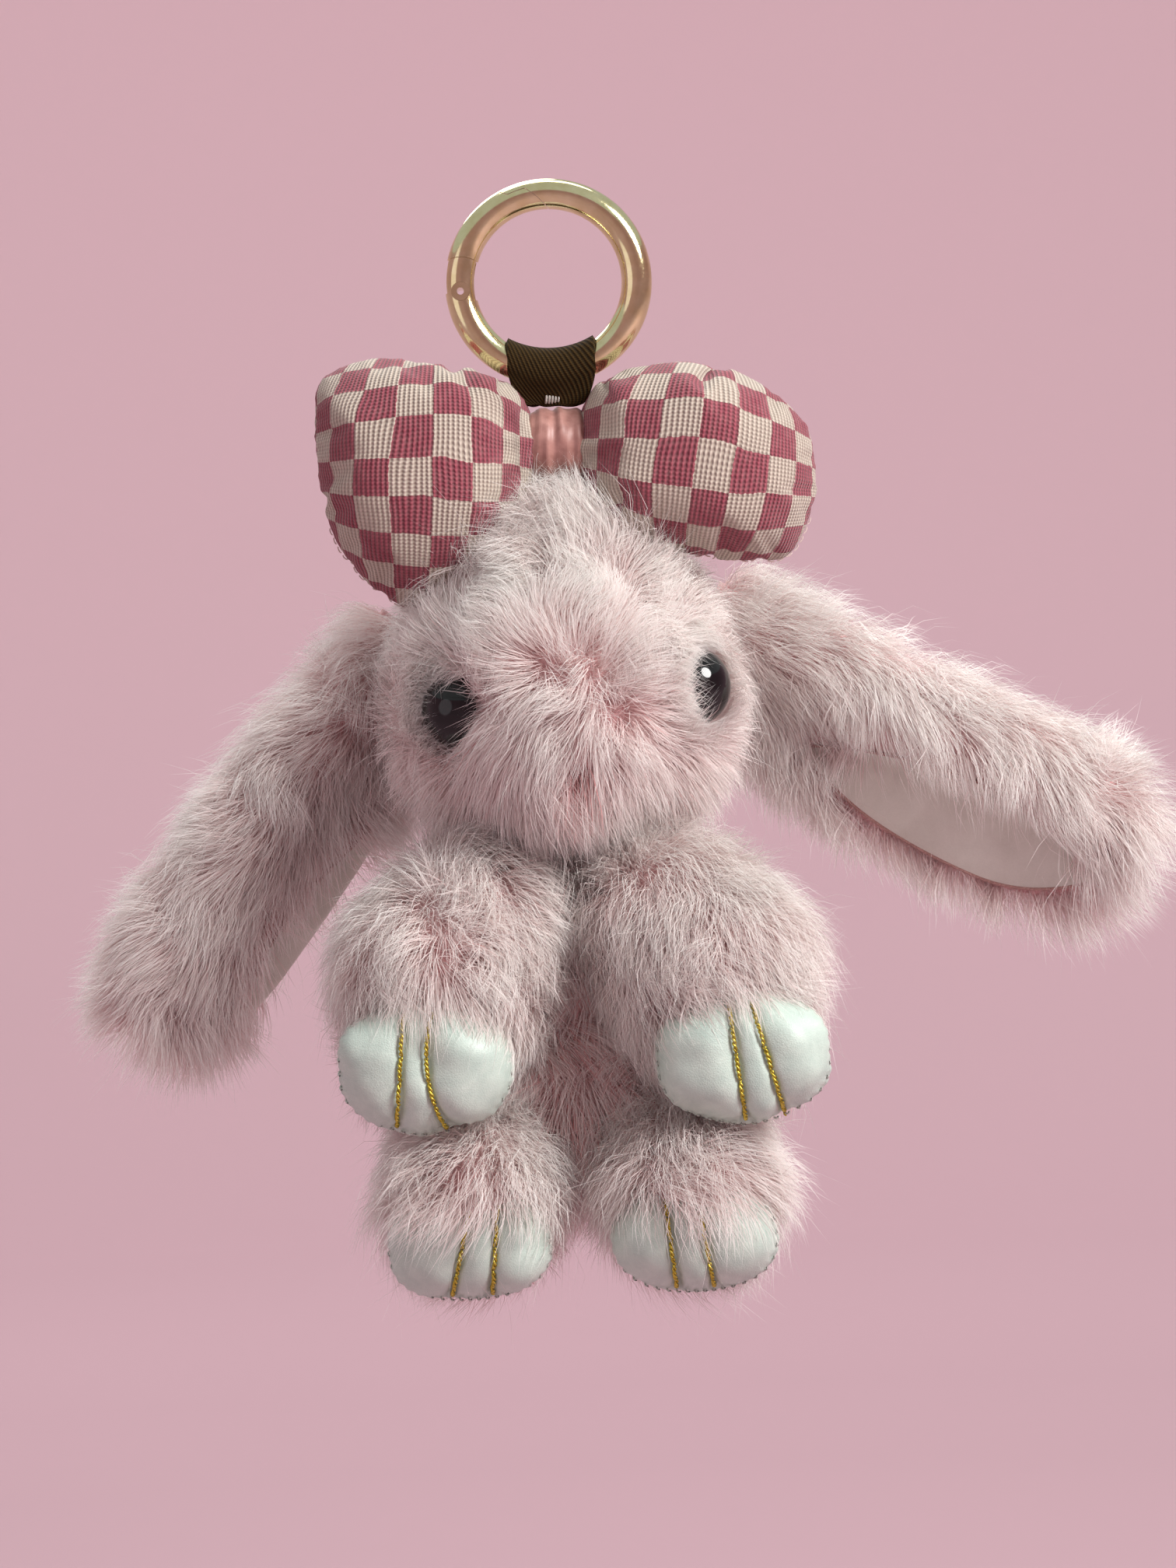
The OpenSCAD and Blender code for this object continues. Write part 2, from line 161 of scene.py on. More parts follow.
class Shader:
    """A material with one Principled shader, and short names for the nodes that drive it."""

    def __init__(self, name, roughness=0.6, **sockets):
        self.mat = bpy.data.materials.new(name)
        self.mat.use_nodes = True
        self.tree = self.mat.node_tree
        self.shader = self.tree.nodes["Principled BSDF"]
        self.shader.inputs["Roughness"].default_value = roughness
        for key, value in sockets.items():
            self.shader.inputs[key.replace("_", " ")].default_value = value

    def node(self, kind, **props):
        made = self.tree.nodes.new("ShaderNode" + kind)
        for key, value in props.items():
            setattr(made, key, value)
        return made

    def link(self, a, b):
        self.tree.links.new(a, b)

    def put(self, value, socket):
        """Links an output to a socket, or sets the socket to a constant."""
        if isinstance(value, bpy.types.NodeSocket):
            self.link(value, socket)
        else:
            socket.default_value = value

    def math(self, operation, a, b=0.0, c=0.0, clamp=False):
        made = self.node("Math", operation=operation, use_clamp=clamp)
        for value, socket in zip((a, b, c), made.inputs):
            self.put(value, socket)
        return made.outputs[0]

    def mix(self, share, a, b, blend="MIX"):
        made = self.node("Mix", data_type="RGBA", blend_type=blend)
        self.put(share, made.inputs["Factor"])
        self.put(a, made.inputs[6])
        self.put(b, made.inputs[7])
        return made.outputs[2]

    def ramp(self, value, stops, interpolation="LINEAR"):
        made = self.node("ValToRGB")
        made.color_ramp.interpolation = interpolation
        steps = made.color_ramp.elements
        while len(steps) < len(stops):
            steps.new(0.5)
        for step, (place, colour) in zip(steps, stops):
            step.position = place
            step.color = colour if hasattr(colour, "__len__") else (colour,) * 3 + (1,)
        self.link(value, made.inputs[0])
        return made.outputs[0]

    def object_place(self, scale=1000.0):
        """The point on the piece in millimetres, or in millimetres times scale / 1000."""
        coord = self.node("TexCoord")
        made = self.node("VectorMath", operation="SCALE")
        self.link(coord.outputs["Object"], made.inputs[0])
        made.inputs["Scale"].default_value = scale
        return made.outputs[0]

    def uv(self, name):
        made = self.node("UVMap", uv_map=name)
        split = self.node("SeparateXYZ")
        self.link(made.outputs[0], split.inputs[0])
        return made.outputs[0], split.outputs[0], split.outputs[1]

    def noise(self, vector, scale, detail=3.0, roughness=0.55):
        made = self.node("TexNoise")
        self.link(vector, made.inputs["Vector"])
        made.inputs["Scale"].default_value = scale
        made.inputs["Detail"].default_value = detail
        made.inputs["Roughness"].default_value = roughness
        return made.outputs["Fac"]

    def mottle(self, vector, scale, dark, light, detail=3.0, roughness=0.55):
        """A noise that wanders between two colours."""
        return self.ramp(self.noise(vector, scale, detail, roughness), [(0.3, dark), (0.7, light)])

    def ribs(self, along, pitch):
        """A sine wave along a length in millimetres."""
        return self.math("SINE", self.math("MULTIPLY", along, 2 * math.pi / pitch))

    def bump(self, height, strength, distance_mm):
        made = self.node("Bump")
        made.inputs["Strength"].default_value = strength
        made.inputs["Distance"].default_value = distance_mm * MM
        self.link(height, made.inputs["Height"])
        self.link(made.outputs[0], self.shader.inputs["Normal"])

    def colour(self, value):
        self.put(value, self.shader.inputs["Base Color"])

    def roughness(self, value):
        self.put(value, self.shader.inputs["Roughness"])


def gold_metal():
    s = Shader("ring_gold", Metallic=1.0)
    place = s.object_place()
    s.colour(s.mottle(place, 0.35, srgb(222, 210, 158), srgb(238, 230, 186), 4.0))
    scratch = s.noise(place, 2.2, 6.0, 0.7)
    s.roughness(s.ramp(scratch, [(0.3, 0.07), (0.75, 0.2)]))
    s.bump(scratch, 0.04, 0.05)
    return s.mat


def plain(name, roughness, scale, dark, light, **sockets):
    """A metal or plastic whose colour wanders a little."""
    s = Shader(name, roughness, **sockets)
    s.colour(s.mottle(s.object_place(), scale, dark, light))
    return s.mat


def eye_plastic():
    s = Shader("eye_plastic")
    place = s.object_place()
    s.colour(s.mottle(place, 0.3, srgb(4, 4, 6), srgb(9, 9, 11)))
    s.roughness(s.ramp(s.noise(place, 2.0), [(0.35, 0.04), (0.75, 0.12)]))
    return s.mat


def twill():
    """Olive-brown webbing: steep diagonal ribs over a fine thread."""
    s = Shader("webbing", 0.85, Specular_IOR_Level=0.12)
    _, u, v = s.uv("weave")
    across = s.math("ADD", u, s.math("MULTIPLY", v, 0.55))
    height = s.math("MULTIPLY_ADD", s.ribs(v, 0.35), 0.35, s.ribs(across, 0.8))
    # The colour follows the ribs' height: the twill's own lines, with painted shade that darkens the grooves.
    tone = s.math("MULTIPLY_ADD", height, 0.3, 0.5)
    base = s.ramp(tone, [(0.1, srgb(20, 13, 4)), (0.55, srgb(48, 34, 13)), (0.95, srgb(84, 63, 30))])
    s.colour(s.mix(0.35, base, s.mottle(s.object_place(), 2.5, srgb(34, 26, 10), srgb(58, 45, 22), 4.0)))
    s.bump(height, 0.7, 0.12)
    return s.mat


def satin():
    s = Shader("satin", 0.4, Sheen_Weight=0.4, Sheen_Roughness=0.3, Anisotropic=0.5)
    _, u, _ = s.uv("weave")
    s.colour(s.mottle(s.object_place(), 0.5, srgb(156, 108, 100), srgb(188, 140, 130)))
    s.bump(s.ribs(u, 0.22), 0.15, 0.03)
    return s.mat


def check_fabric():
    """Dusty rose and cream squares on a ribbed knit. The UV map is in millimetres of flat cloth."""
    square, rib_pitch, row_pitch = 5.6, 0.74, 0.6
    s = Shader("bow_fabric", 0.82, Sheen_Weight=0.2)
    _, u, v = s.uv("weave")
    place = s.object_place()
    wobble = s.math("MULTIPLY_ADD", s.noise(place, 1.6, 2.0), 0.5, -0.25)
    row, column = (s.math("FLOOR", s.math("DIVIDE", s.math("ADD", way, wobble), square)) for way in (v, u))
    odd = s.math("PINGPONG", s.math("ADD", row, column), 1.0)
    rib = s.ribs(u, rib_pitch)
    stitch = s.math("SINE", s.math("MULTIPLY_ADD", rib, 0.9, s.math("MULTIPLY", v, 2 * math.pi / row_pitch)))
    height = s.math("MULTIPLY_ADD", stitch, 0.35, rib)
    # Both colours follow the height of the ribs and stitches, darker in the grooves: painted shade over the
    # knit's own squares.
    tone = s.math("MULTIPLY_ADD", height, 0.3, 0.5)
    rose = s.ramp(tone, [(0.1, srgb(100, 34, 48)), (0.9, srgb(170, 76, 92))])
    cream = s.ramp(tone, [(0.1, srgb(150, 136, 122)), (0.9, srgb(218, 206, 190))])
    fade = s.mottle(place, 0.6, srgb(120, 80, 84), srgb(214, 190, 182))
    s.colour(s.mix(0.1, s.mix(odd, rose, cream), fade))
    s.bump(height, 0.7, 0.18)
    return s.mat


def leather():
    """Cool white leather cloth with a fine grain and faint creases."""
    s = Shader("paw_leather", Coat_Weight=0.12, Coat_Roughness=0.35)
    place = s.object_place()
    grain = s.node("TexVoronoi", feature="DISTANCE_TO_EDGE")
    s.link(place, grain.inputs["Vector"])
    grain.inputs["Scale"].default_value = 2.3
    pores = s.ramp(grain.outputs["Distance"], [(0.0, 0.0), (0.22, 1.0)])
    crease = s.noise(place, 0.28, 5.0, 0.65)
    white = [(0.25, srgb(180, 200, 190)), (0.6, srgb(198, 215, 204)), (0.8, srgb(209, 224, 213))]
    # The colour is darker where the creases sink: painted shade in the creases, over the leather's own cool
    # white.
    s.colour(s.ramp(crease, white))
    s.roughness(s.ramp(crease, [(0.3, 0.36), (0.75, 0.52)]))
    s.bump(s.math("MULTIPLY_ADD", crease, 1.6, s.math("MULTIPLY", pores, 0.35)), 0.35, 0.18)
    return s.mat


def lining_cloth():
    """Smooth cream lining with a short brushed nap."""
    s = Shader("ear_lining", 0.6, Sheen_Weight=0.6, Sheen_Roughness=0.4)
    place = s.object_place()
    nap = s.noise(place, 3.0, 6.0, 0.7)
    cream = s.mottle(place, 0.12, srgb(200, 202, 190), srgb(220, 223, 212))
    s.colour(s.mix(0.15, cream, s.ramp(nap, [(0.3, srgb(198, 190, 180)), (0.7, srgb(244, 241, 234))])))
    s.bump(nap, 0.2, 0.06)
    return s.mat


def gold_thread():
    s = Shader("gold_thread", 0.3, Metallic=0.85)
    place = s.object_place()
    strand = s.noise(place, 3.0, 4.0, 0.7)
    gold = [(0.3, srgb(104, 88, 26)), (0.5, srgb(196, 176, 62)), (0.7, srgb(236, 222, 120))]
    s.colour(s.ramp(strand, gold))
    s.roughness(s.ramp(strand, [(0.3, 0.22), (0.7, 0.45)]))
    s.bump(strand, 0.3, 0.05)
    return s.mat


def cotton_thread(name, dark, light):
    s = Shader(name, 0.8, Sheen_Weight=0.2)
    ply = s.noise(s.object_place(), 4.0)
    s.colour(s.ramp(ply, [(0.3, dark), (0.7, light)]))
    s.bump(ply, 0.3, 0.04)
    return s.mat


def under_fur():
    """The backing cloth, seen only deep between strands."""
    s = Shader("fur_backing", 0.95)
    place = s.object_place()
    tuft = s.noise(place, 1.1, 6.0, 0.7)
    s.colour(s.ramp(tuft, [(0.3, srgb(212, 158, 158)), (0.7, srgb(236, 200, 199))]))
    s.bump(tuft, 0.8, 0.6)
    return s.mat


def fur_pile():
    """Strand colour: across is a strand's tone, from deep rose by rosy to white, and up is from root to tip.
    The tone carries each strand's own random tone and the painted shade of rosy_low.
    """
    s = Shader("fur", 0.55, Sheen_Weight=0.2, Sheen_Roughness=0.5, Specular_IOR_Level=0.4)
    _, u, v = s.uv("OFBake")
    rosy = s.ramp(v, [(0.0, srgb(224, 178, 177)), (0.35, srgb(235, 207, 205)), (0.75, srgb(241, 228, 225)),
                      (1.0, srgb(246, 242, 238))])
    white = s.ramp(v, [(0.0, srgb(232, 208, 206)), (0.3, srgb(241, 230, 227)), (0.65, srgb(247, 245, 241)),
                       (1.0, srgb(250, 254, 250))])
    # Tones under about 0.14 turn to this deep rose: the mouth spot and the deepest painted shade of rosy_low.
    deep = s.ramp(v, [(0.0, srgb(206, 124, 126)), (1.0, srgb(230, 176, 174))])
    tone = s.mix(s.math("MULTIPLY_ADD", u, -7.0, 1.0, clamp=True), s.mix(u, rosy, white), deep)
    s.colour(tone)
    glow = s.node("BsdfTranslucent")
    s.link(tone, glow.inputs["Color"])
    both = s.node("MixShader")
    both.inputs[0].default_value = 0.35
    s.link(s.shader.outputs[0], both.inputs[1])
    s.link(glow.outputs[0], both.inputs[2])
    s.link(both.outputs[0], s.tree.nodes["Material Output"].inputs["Surface"])
    return s.mat


# ---------------------------------------------------------------- mesh helpers

def mesh_from(name, verts, faces):
    """A mesh from points in millimetres and equal-length faces, or a list of such groups of faces."""
    several = isinstance(faces, list) and isinstance(faces[0], np.ndarray)
    groups = [np.asarray(f, np.int32) for f in (faces if several else [faces])]
    mesh = bpy.data.meshes.new(name)
    mesh.vertices.add(len(verts))
    mesh.vertices.foreach_set("co", (np.asarray(verts, float) * MM).astype(np.float32).ravel())
    loops = np.concatenate([g.ravel() for g in groups])
    sizes = np.concatenate([np.full(len(g), g.shape[1]) for g in groups])
    mesh.loops.add(len(loops))
    mesh.loops.foreach_set("vertex_index", loops)
    mesh.polygons.add(len(sizes))
    mesh.polygons.foreach_set("loop_start", np.concatenate([[0], np.cumsum(sizes)[:-1]]).astype(np.int32))
    mesh.polygons.foreach_set("use_smooth", np.ones(len(sizes), bool))
    mesh.update(calc_edges=True)
    mesh.validate()
    return mesh


def put_uv(mesh, name, per_vertex):
    """Writes a UV map from one (u, v) per vertex."""
    corners = np.empty(len(mesh.loops), np.int32)
    mesh.loops.foreach_get("vertex_index", corners)
    layer = mesh.uv_layers.new(name=name)
    layer.data.foreach_set("uv", np.asarray(per_vertex, np.float32)[corners].ravel())


def piece(name, mesh, look, body, replaces=()):
    """An object that rides on a body and wears one of the MATERIALS."""
    obj = bpy.data.objects.new(name, mesh)
    bpy.context.scene.collection.objects.link(obj)
    mesh.materials.append(MATERIALS[look])
    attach(obj, body)
    if replaces:
        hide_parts(*replaces)
    return obj


def threads(name, parts, look, body, replaces=()):
    """Several tubes as one piece."""
    mesh = mesh_from(name, *joined(parts))
    tidy_mesh(mesh)
    piece(name, mesh, look, body, replaces)


def make_skin(name, surface, body, nodes):
    """The stuffed backing cloth under a fur."""
    piece(name, mesh_from(name, *surface), "fur_backing", body, nodes)


def thicken(obj, thick, offset=-1.0):
    """Gives a sheet a thickness. offset 0 puts half of it on each side."""
    made = obj.modifiers.new("thickness", "SOLIDIFY")
    made.thickness = thick * MM
    made.offset = offset


def smooth(obj):
    made = obj.modifiers.new("smooth", "SUBSURF")
    made.levels = made.render_levels = 1


def grid_quads(rows, columns, round_rows=False, round_columns=False):
    """The quads between rows of points, each way closed to a ring or not."""
    steps = np.arange(rows - (not round_rows)), np.arange(columns - (not round_columns))
    i, k = np.meshgrid(*steps, indexing="ij")
    j, m = (i + 1) % rows, (k + 1) % columns
    return np.stack([i * columns + k, i * columns + m, j * columns + m, j * columns + k], -1).reshape(-1, 4)


def unit(v):
    return v / np.maximum(np.linalg.norm(v, axis=-1, keepdims=True), 1e-9)


def near(p, centre, radius):
    """1 at the centre, fading to nothing over about a radius or two."""
    return np.exp(-((p - centre) ** 2).sum(1) / radius ** 2)


def smooth_step(x, low, high):
    t = np.clip((x - low) / (high - low), 0, 1)
    return t * t * (3 - 2 * t)


def icosphere(steps):
    """Directions spread evenly over a sphere, and the triangles between them."""
    bm = bmesh.new()
    bmesh.ops.create_icosphere(bm, subdivisions=steps, radius=1.0)
    points = np.array([v.co for v in bm.verts], float)
    faces = np.array([[v.index for v in f.verts] for f in bm.faces], np.int32)
    bm.free()
    return unit(points), faces


def round_cones(balls, blend, grow=0.0):
    """A distance function: soft union of the balls and of the tapers between neighbours in each chain."""
    def distance(p):
        total = None
        for chain in balls:
            ends = list(zip(chain[:-1], chain[1:])) or [(chain[0], chain[0])]
            for (a, ra), (b, rb) in ends:
                a, b = np.asarray(a, float), np.asarray(b, float)
                along = b - a
                t = np.clip(((p - a) @ along) / max(along @ along, 1e-9), 0, 1)
                d = np.linalg.norm(p - a - t[:, None] * along, axis=1) - (ra + (rb - ra) * t) - grow
                if total is None:
                    total = d
                    continue
                h = np.clip(0.5 + 0.5 * (d - total) / blend, 0, 1)
                total = d * (1 - h) + total * h - blend * h * (1 - h)
        return total
    return distance


def cast_out(distance, centre, directions, reach):
    """Where rays from centre last leave a solid."""
    steps = np.linspace(0, reach, 48)
    last = np.zeros(len(directions))
    for t in steps:
        inside = distance(centre + directions * t) < 0
        last[inside] = t
    low, high = last, last + steps[1]
    for _ in range(12):
        middle = (low + high) / 2
        inside = distance(centre + directions * middle[:, None]) < 0
        low, high = np.where(inside, middle, low), np.where(inside, high, middle)
    return (low + high) / 2


def star_shape(distance, centre, reach, steps=5):
    """The surface of a distance function round centre, as points and triangles."""
    directions, faces = icosphere(steps)
    centre = np.asarray(centre, float)
    return centre + directions * cast_out(distance, centre, directions, reach)[:, None], faces


def point_normals(points, faces):
    a, b, c = points[faces[:, 0]], points[faces[:, 1]], points[faces[:, 2]]
    n = np.cross(b - a, c - a)
    total = np.zeros_like(points)
    for k in range(3):
        np.add.at(total, faces[:, k], n)
    return unit(total)


def triangles(faces):
    faces = np.asarray(faces)
    return faces if faces.shape[1] == 3 else np.concatenate([faces[:, [0, 1, 2]], faces[:, [0, 2, 3]]])


def tube(path, radius, sides=8, closed=False):
    """Points and quads of a tube along a path. radius is one number or one per point."""
    path = np.asarray(path, float)
    n = len(path)
    radius = np.broadcast_to(radius, n)
    ahead = np.roll(path, -1, 0) - np.roll(path, 1, 0)
    if not closed:
        ahead[0], ahead[-1] = path[1] - path[0], path[-1] - path[-2]
    ahead = unit(ahead)
    side = np.cross(ahead[0], [0, 0, 1.0])
    if np.linalg.norm(side) < 1e-3:
        side = np.cross(ahead[0], [0, 1.0, 0])
    rings = []
    for i in range(n):
        side = unit(side - (side @ ahead[i]) * ahead[i])
        up = np.cross(ahead[i], side)
        a = 2 * math.pi * np.arange(sides) / sides
        rings.append(path[i] + radius[i] * (np.cos(a)[:, None] * side + np.sin(a)[:, None] * up))
    points = np.concatenate(rings)
    quads = grid_quads(n, sides, round_rows=closed, round_columns=True)
    if not closed:
        points = np.concatenate([points, path[:1], path[-1:]])
        here, last = np.arange(sides), (n - 1) * sides
        after, start, end = (here + 1) % sides, np.full(sides, n * sides), np.full(sides, n * sides + 1)
        caps = [np.stack([after, here, start, start], 1), np.stack([last + here, last + after, end, end], 1)]
        quads = np.concatenate([quads] + caps)
    return points, quads


def joined(parts):
    """Several (points, faces) as one."""
    points, faces, at = [], [], 0
    for p, f in parts:
        points.append(p)
        faces.append(np.asarray(f) + at)
        at += len(p)
    return np.concatenate(points), np.concatenate(faces)


def tidy_mesh(mesh):
    """Removes doubled corners, such as those that the tubes' ends leave."""
    bm = bmesh.new()
    bm.from_mesh(mesh)
    bmesh.ops.remove_doubles(bm, verts=bm.verts, dist=1e-7)
    bmesh.ops.dissolve_degenerate(bm, edges=bm.edges, dist=1e-8)
    bmesh.ops.recalc_face_normals(bm, faces=bm.faces)
    bm.to_mesh(mesh)
    bm.free()
    for p in mesh.polygons:
        p.use_smooth = True


# ---------------------------------------------------------------- the soft forms, as in the part

SKIN_INSET = 2.5
HEAD_CHAINS = [
    [((0, 2, -76), 26), ((0, -13, -82), 17.5), ((0, -15, -88), 15)],
    [((-9, -2, -84), 20), ((9, -2, -84), 20)],
]
HIPS = [((-7, 8, -150), 20), ((7, 8, -150), 20)]
BODY_CHAINS = [[HIPS[0], ((0, 7, -125), 18), HIPS[1]], HIPS]
LEGS = {
    "front_left": [((-16.3, -11, -120.5), 13.6), ((-21.8, -14, -129.5), 15.6), ((-23.6, -20, -140), 11.5)],
    "front_right": [((16.3, -11, -120.5), 13.6), ((23, -14, -129.5), 15.6), ((26, -20, -140), 11.5)],
    "hind_left": [((-15.4, 4, -158), 14.2), ((-17.5, -9, -163), 12.9), ((-18.7, -18.6, -166), 11.4)],
    "hind_right": [((15.4, 4, -158), 14.2), ((17.5, -9, -163), 12.9), ((18.7, -18.6, -166), 11.4)],
}
PAW_PLACES = {
    "front_left": (-24.8, -27, -142.8), "front_right": (27.4, -27, -143.0),
    "hind_left": (-18.7, -22.5, -173.2), "hind_right": (18.7, -22.5, -173.2),
}
PAW_WIDTH = {"front": 28.6, "hind": 27.2}
PAW_DROP = {"front": 3.9, "hind": 1.5}
# Each claw line's distance from the paw's middle at its top, middle and bottom
CLAWS = {
    "front_left": [(-3.0, -3.8, -5.1), (2.4, 0.5, 3.8)],
    "front_right": [(-2.4, -1.2, 0.2), (0.9, 3.8, 7.0)],
    "hind_left": [(0.6, -1.2, -3.3), (4.8, 4.2, 3.3)],
    "hind_right": [(-5.0, -4.2, -3.3), (0.2, 1.4, 2.8)],
}
EYES = {"left": np.array([-18.7, -18.4, -84.5]), "right": np.array([23.7, -13.5, -82])}
EYE_TURN = {"left": math.radians(46), "right": math.radians(58)}
EYE_RISE = 4.0
EYE_R = 6.8
EYE_BARE = 5.4
WHORL = np.array([0.0, -31.0, -76.0])
MOUTH = np.array([1.2, -33.0, -101.0])
LIP = np.array([0.0, -30.0, -90.0])
LOBE_DROOP = {"left": 5, "right": 3}


def lobe_chains(side):
    s, droop = SIDES[side], LOBE_DROOP[side]
    rows = [[((s * 15.75, -3, -43.5 + up * 2.75), 10.75), ((s * 32.25, -3, -43.5 + up * 6.75 - droop), 10.75)]
            for up in (-1, 1)]
    return rows + [[rows[0][0], rows[1][0]], [rows[0][1], rows[1][1]]]


def paw_chains(key):
    """Three toes side by side, the middle one reaching lowest."""
    end = key.split("_")[0]
    toe_r = PAW_WIDTH[end] * 0.26
    step = PAW_WIDTH[end] / 2 - toe_r
    x, y, z = PAW_PLACES[key]
    drops = [PAW_DROP[end] * k for k in (0.35, 1.0, 0.35)]
    return [[((x + i * step, y, z - drop), toe_r), ((x + i * step, y, z + drop), toe_r)]
            for i, drop in zip((-1, 0, 1), drops)]


head_form = round_cones(HEAD_CHAINS, 5)
body_form = round_cones(BODY_CHAINS, 5)
lobe_forms = {side: round_cones(lobe_chains(side), 4) for side in SIDES}
leg_forms = {key: round_cones([chain], 4) for key, chain in LEGS.items()}
paw_forms = {key: round_cones(paw_chains(key), 5) for key in PAW_PLACES}


def eye_ahead(side):
    return np.array([SIDES[side] * math.sin(EYE_TURN[side]), -math.cos(EYE_TURN[side]), 0])


def eye_form(side):
    middle = EYES[side] + eye_ahead(side) * (EYE_RISE - EYE_R)
    return lambda p: np.linalg.norm(p - middle, axis=1) - EYE_R


def grown(form, by):
    return lambda p: form(p) - by


# ---------------------------------------------------------------- fur

class Waves:
    """A smooth random vector field: a sum of sine waves."""

    def __init__(self, seed, size, count=24):
        rng = np.random.default_rng(seed)
        self.waves = rng.normal(0, 2 * math.pi / size, (count, 3)) * 0.6
        self.phases = rng.uniform(0, 2 * math.pi, count)
        self.ways = rng.normal(0, 1, (count, 3)) / math.sqrt(count / 2)

    def __call__(self, p):
        return np.sin(p @ self.waves.T + self.phases) @ self.ways


def nearest(seeds, points):
    tree = KDTree(len(seeds))
    for i, p in enumerate(seeds):
        tree.insert(p, i)
    tree.balance()
    return np.array([tree.find(p)[1] for p in points])


def push_out(q, forms, gap):
    """Moves points that are inside a form to just outside it."""
    for form in forms:
        d = form(q)
        deep = np.flatnonzero(d < gap)
        if len(deep) == 0:
            continue
        p = q[deep]
        slope = np.stack([form(p + e) - form(p - e) for e in np.eye(3) * 0.05], 1)
        q[deep] = p + unit(slope) * (gap - d[deep])[:, None]
    return q


# No strand reaches further to the front than this
FUR_FRONT = -45.6


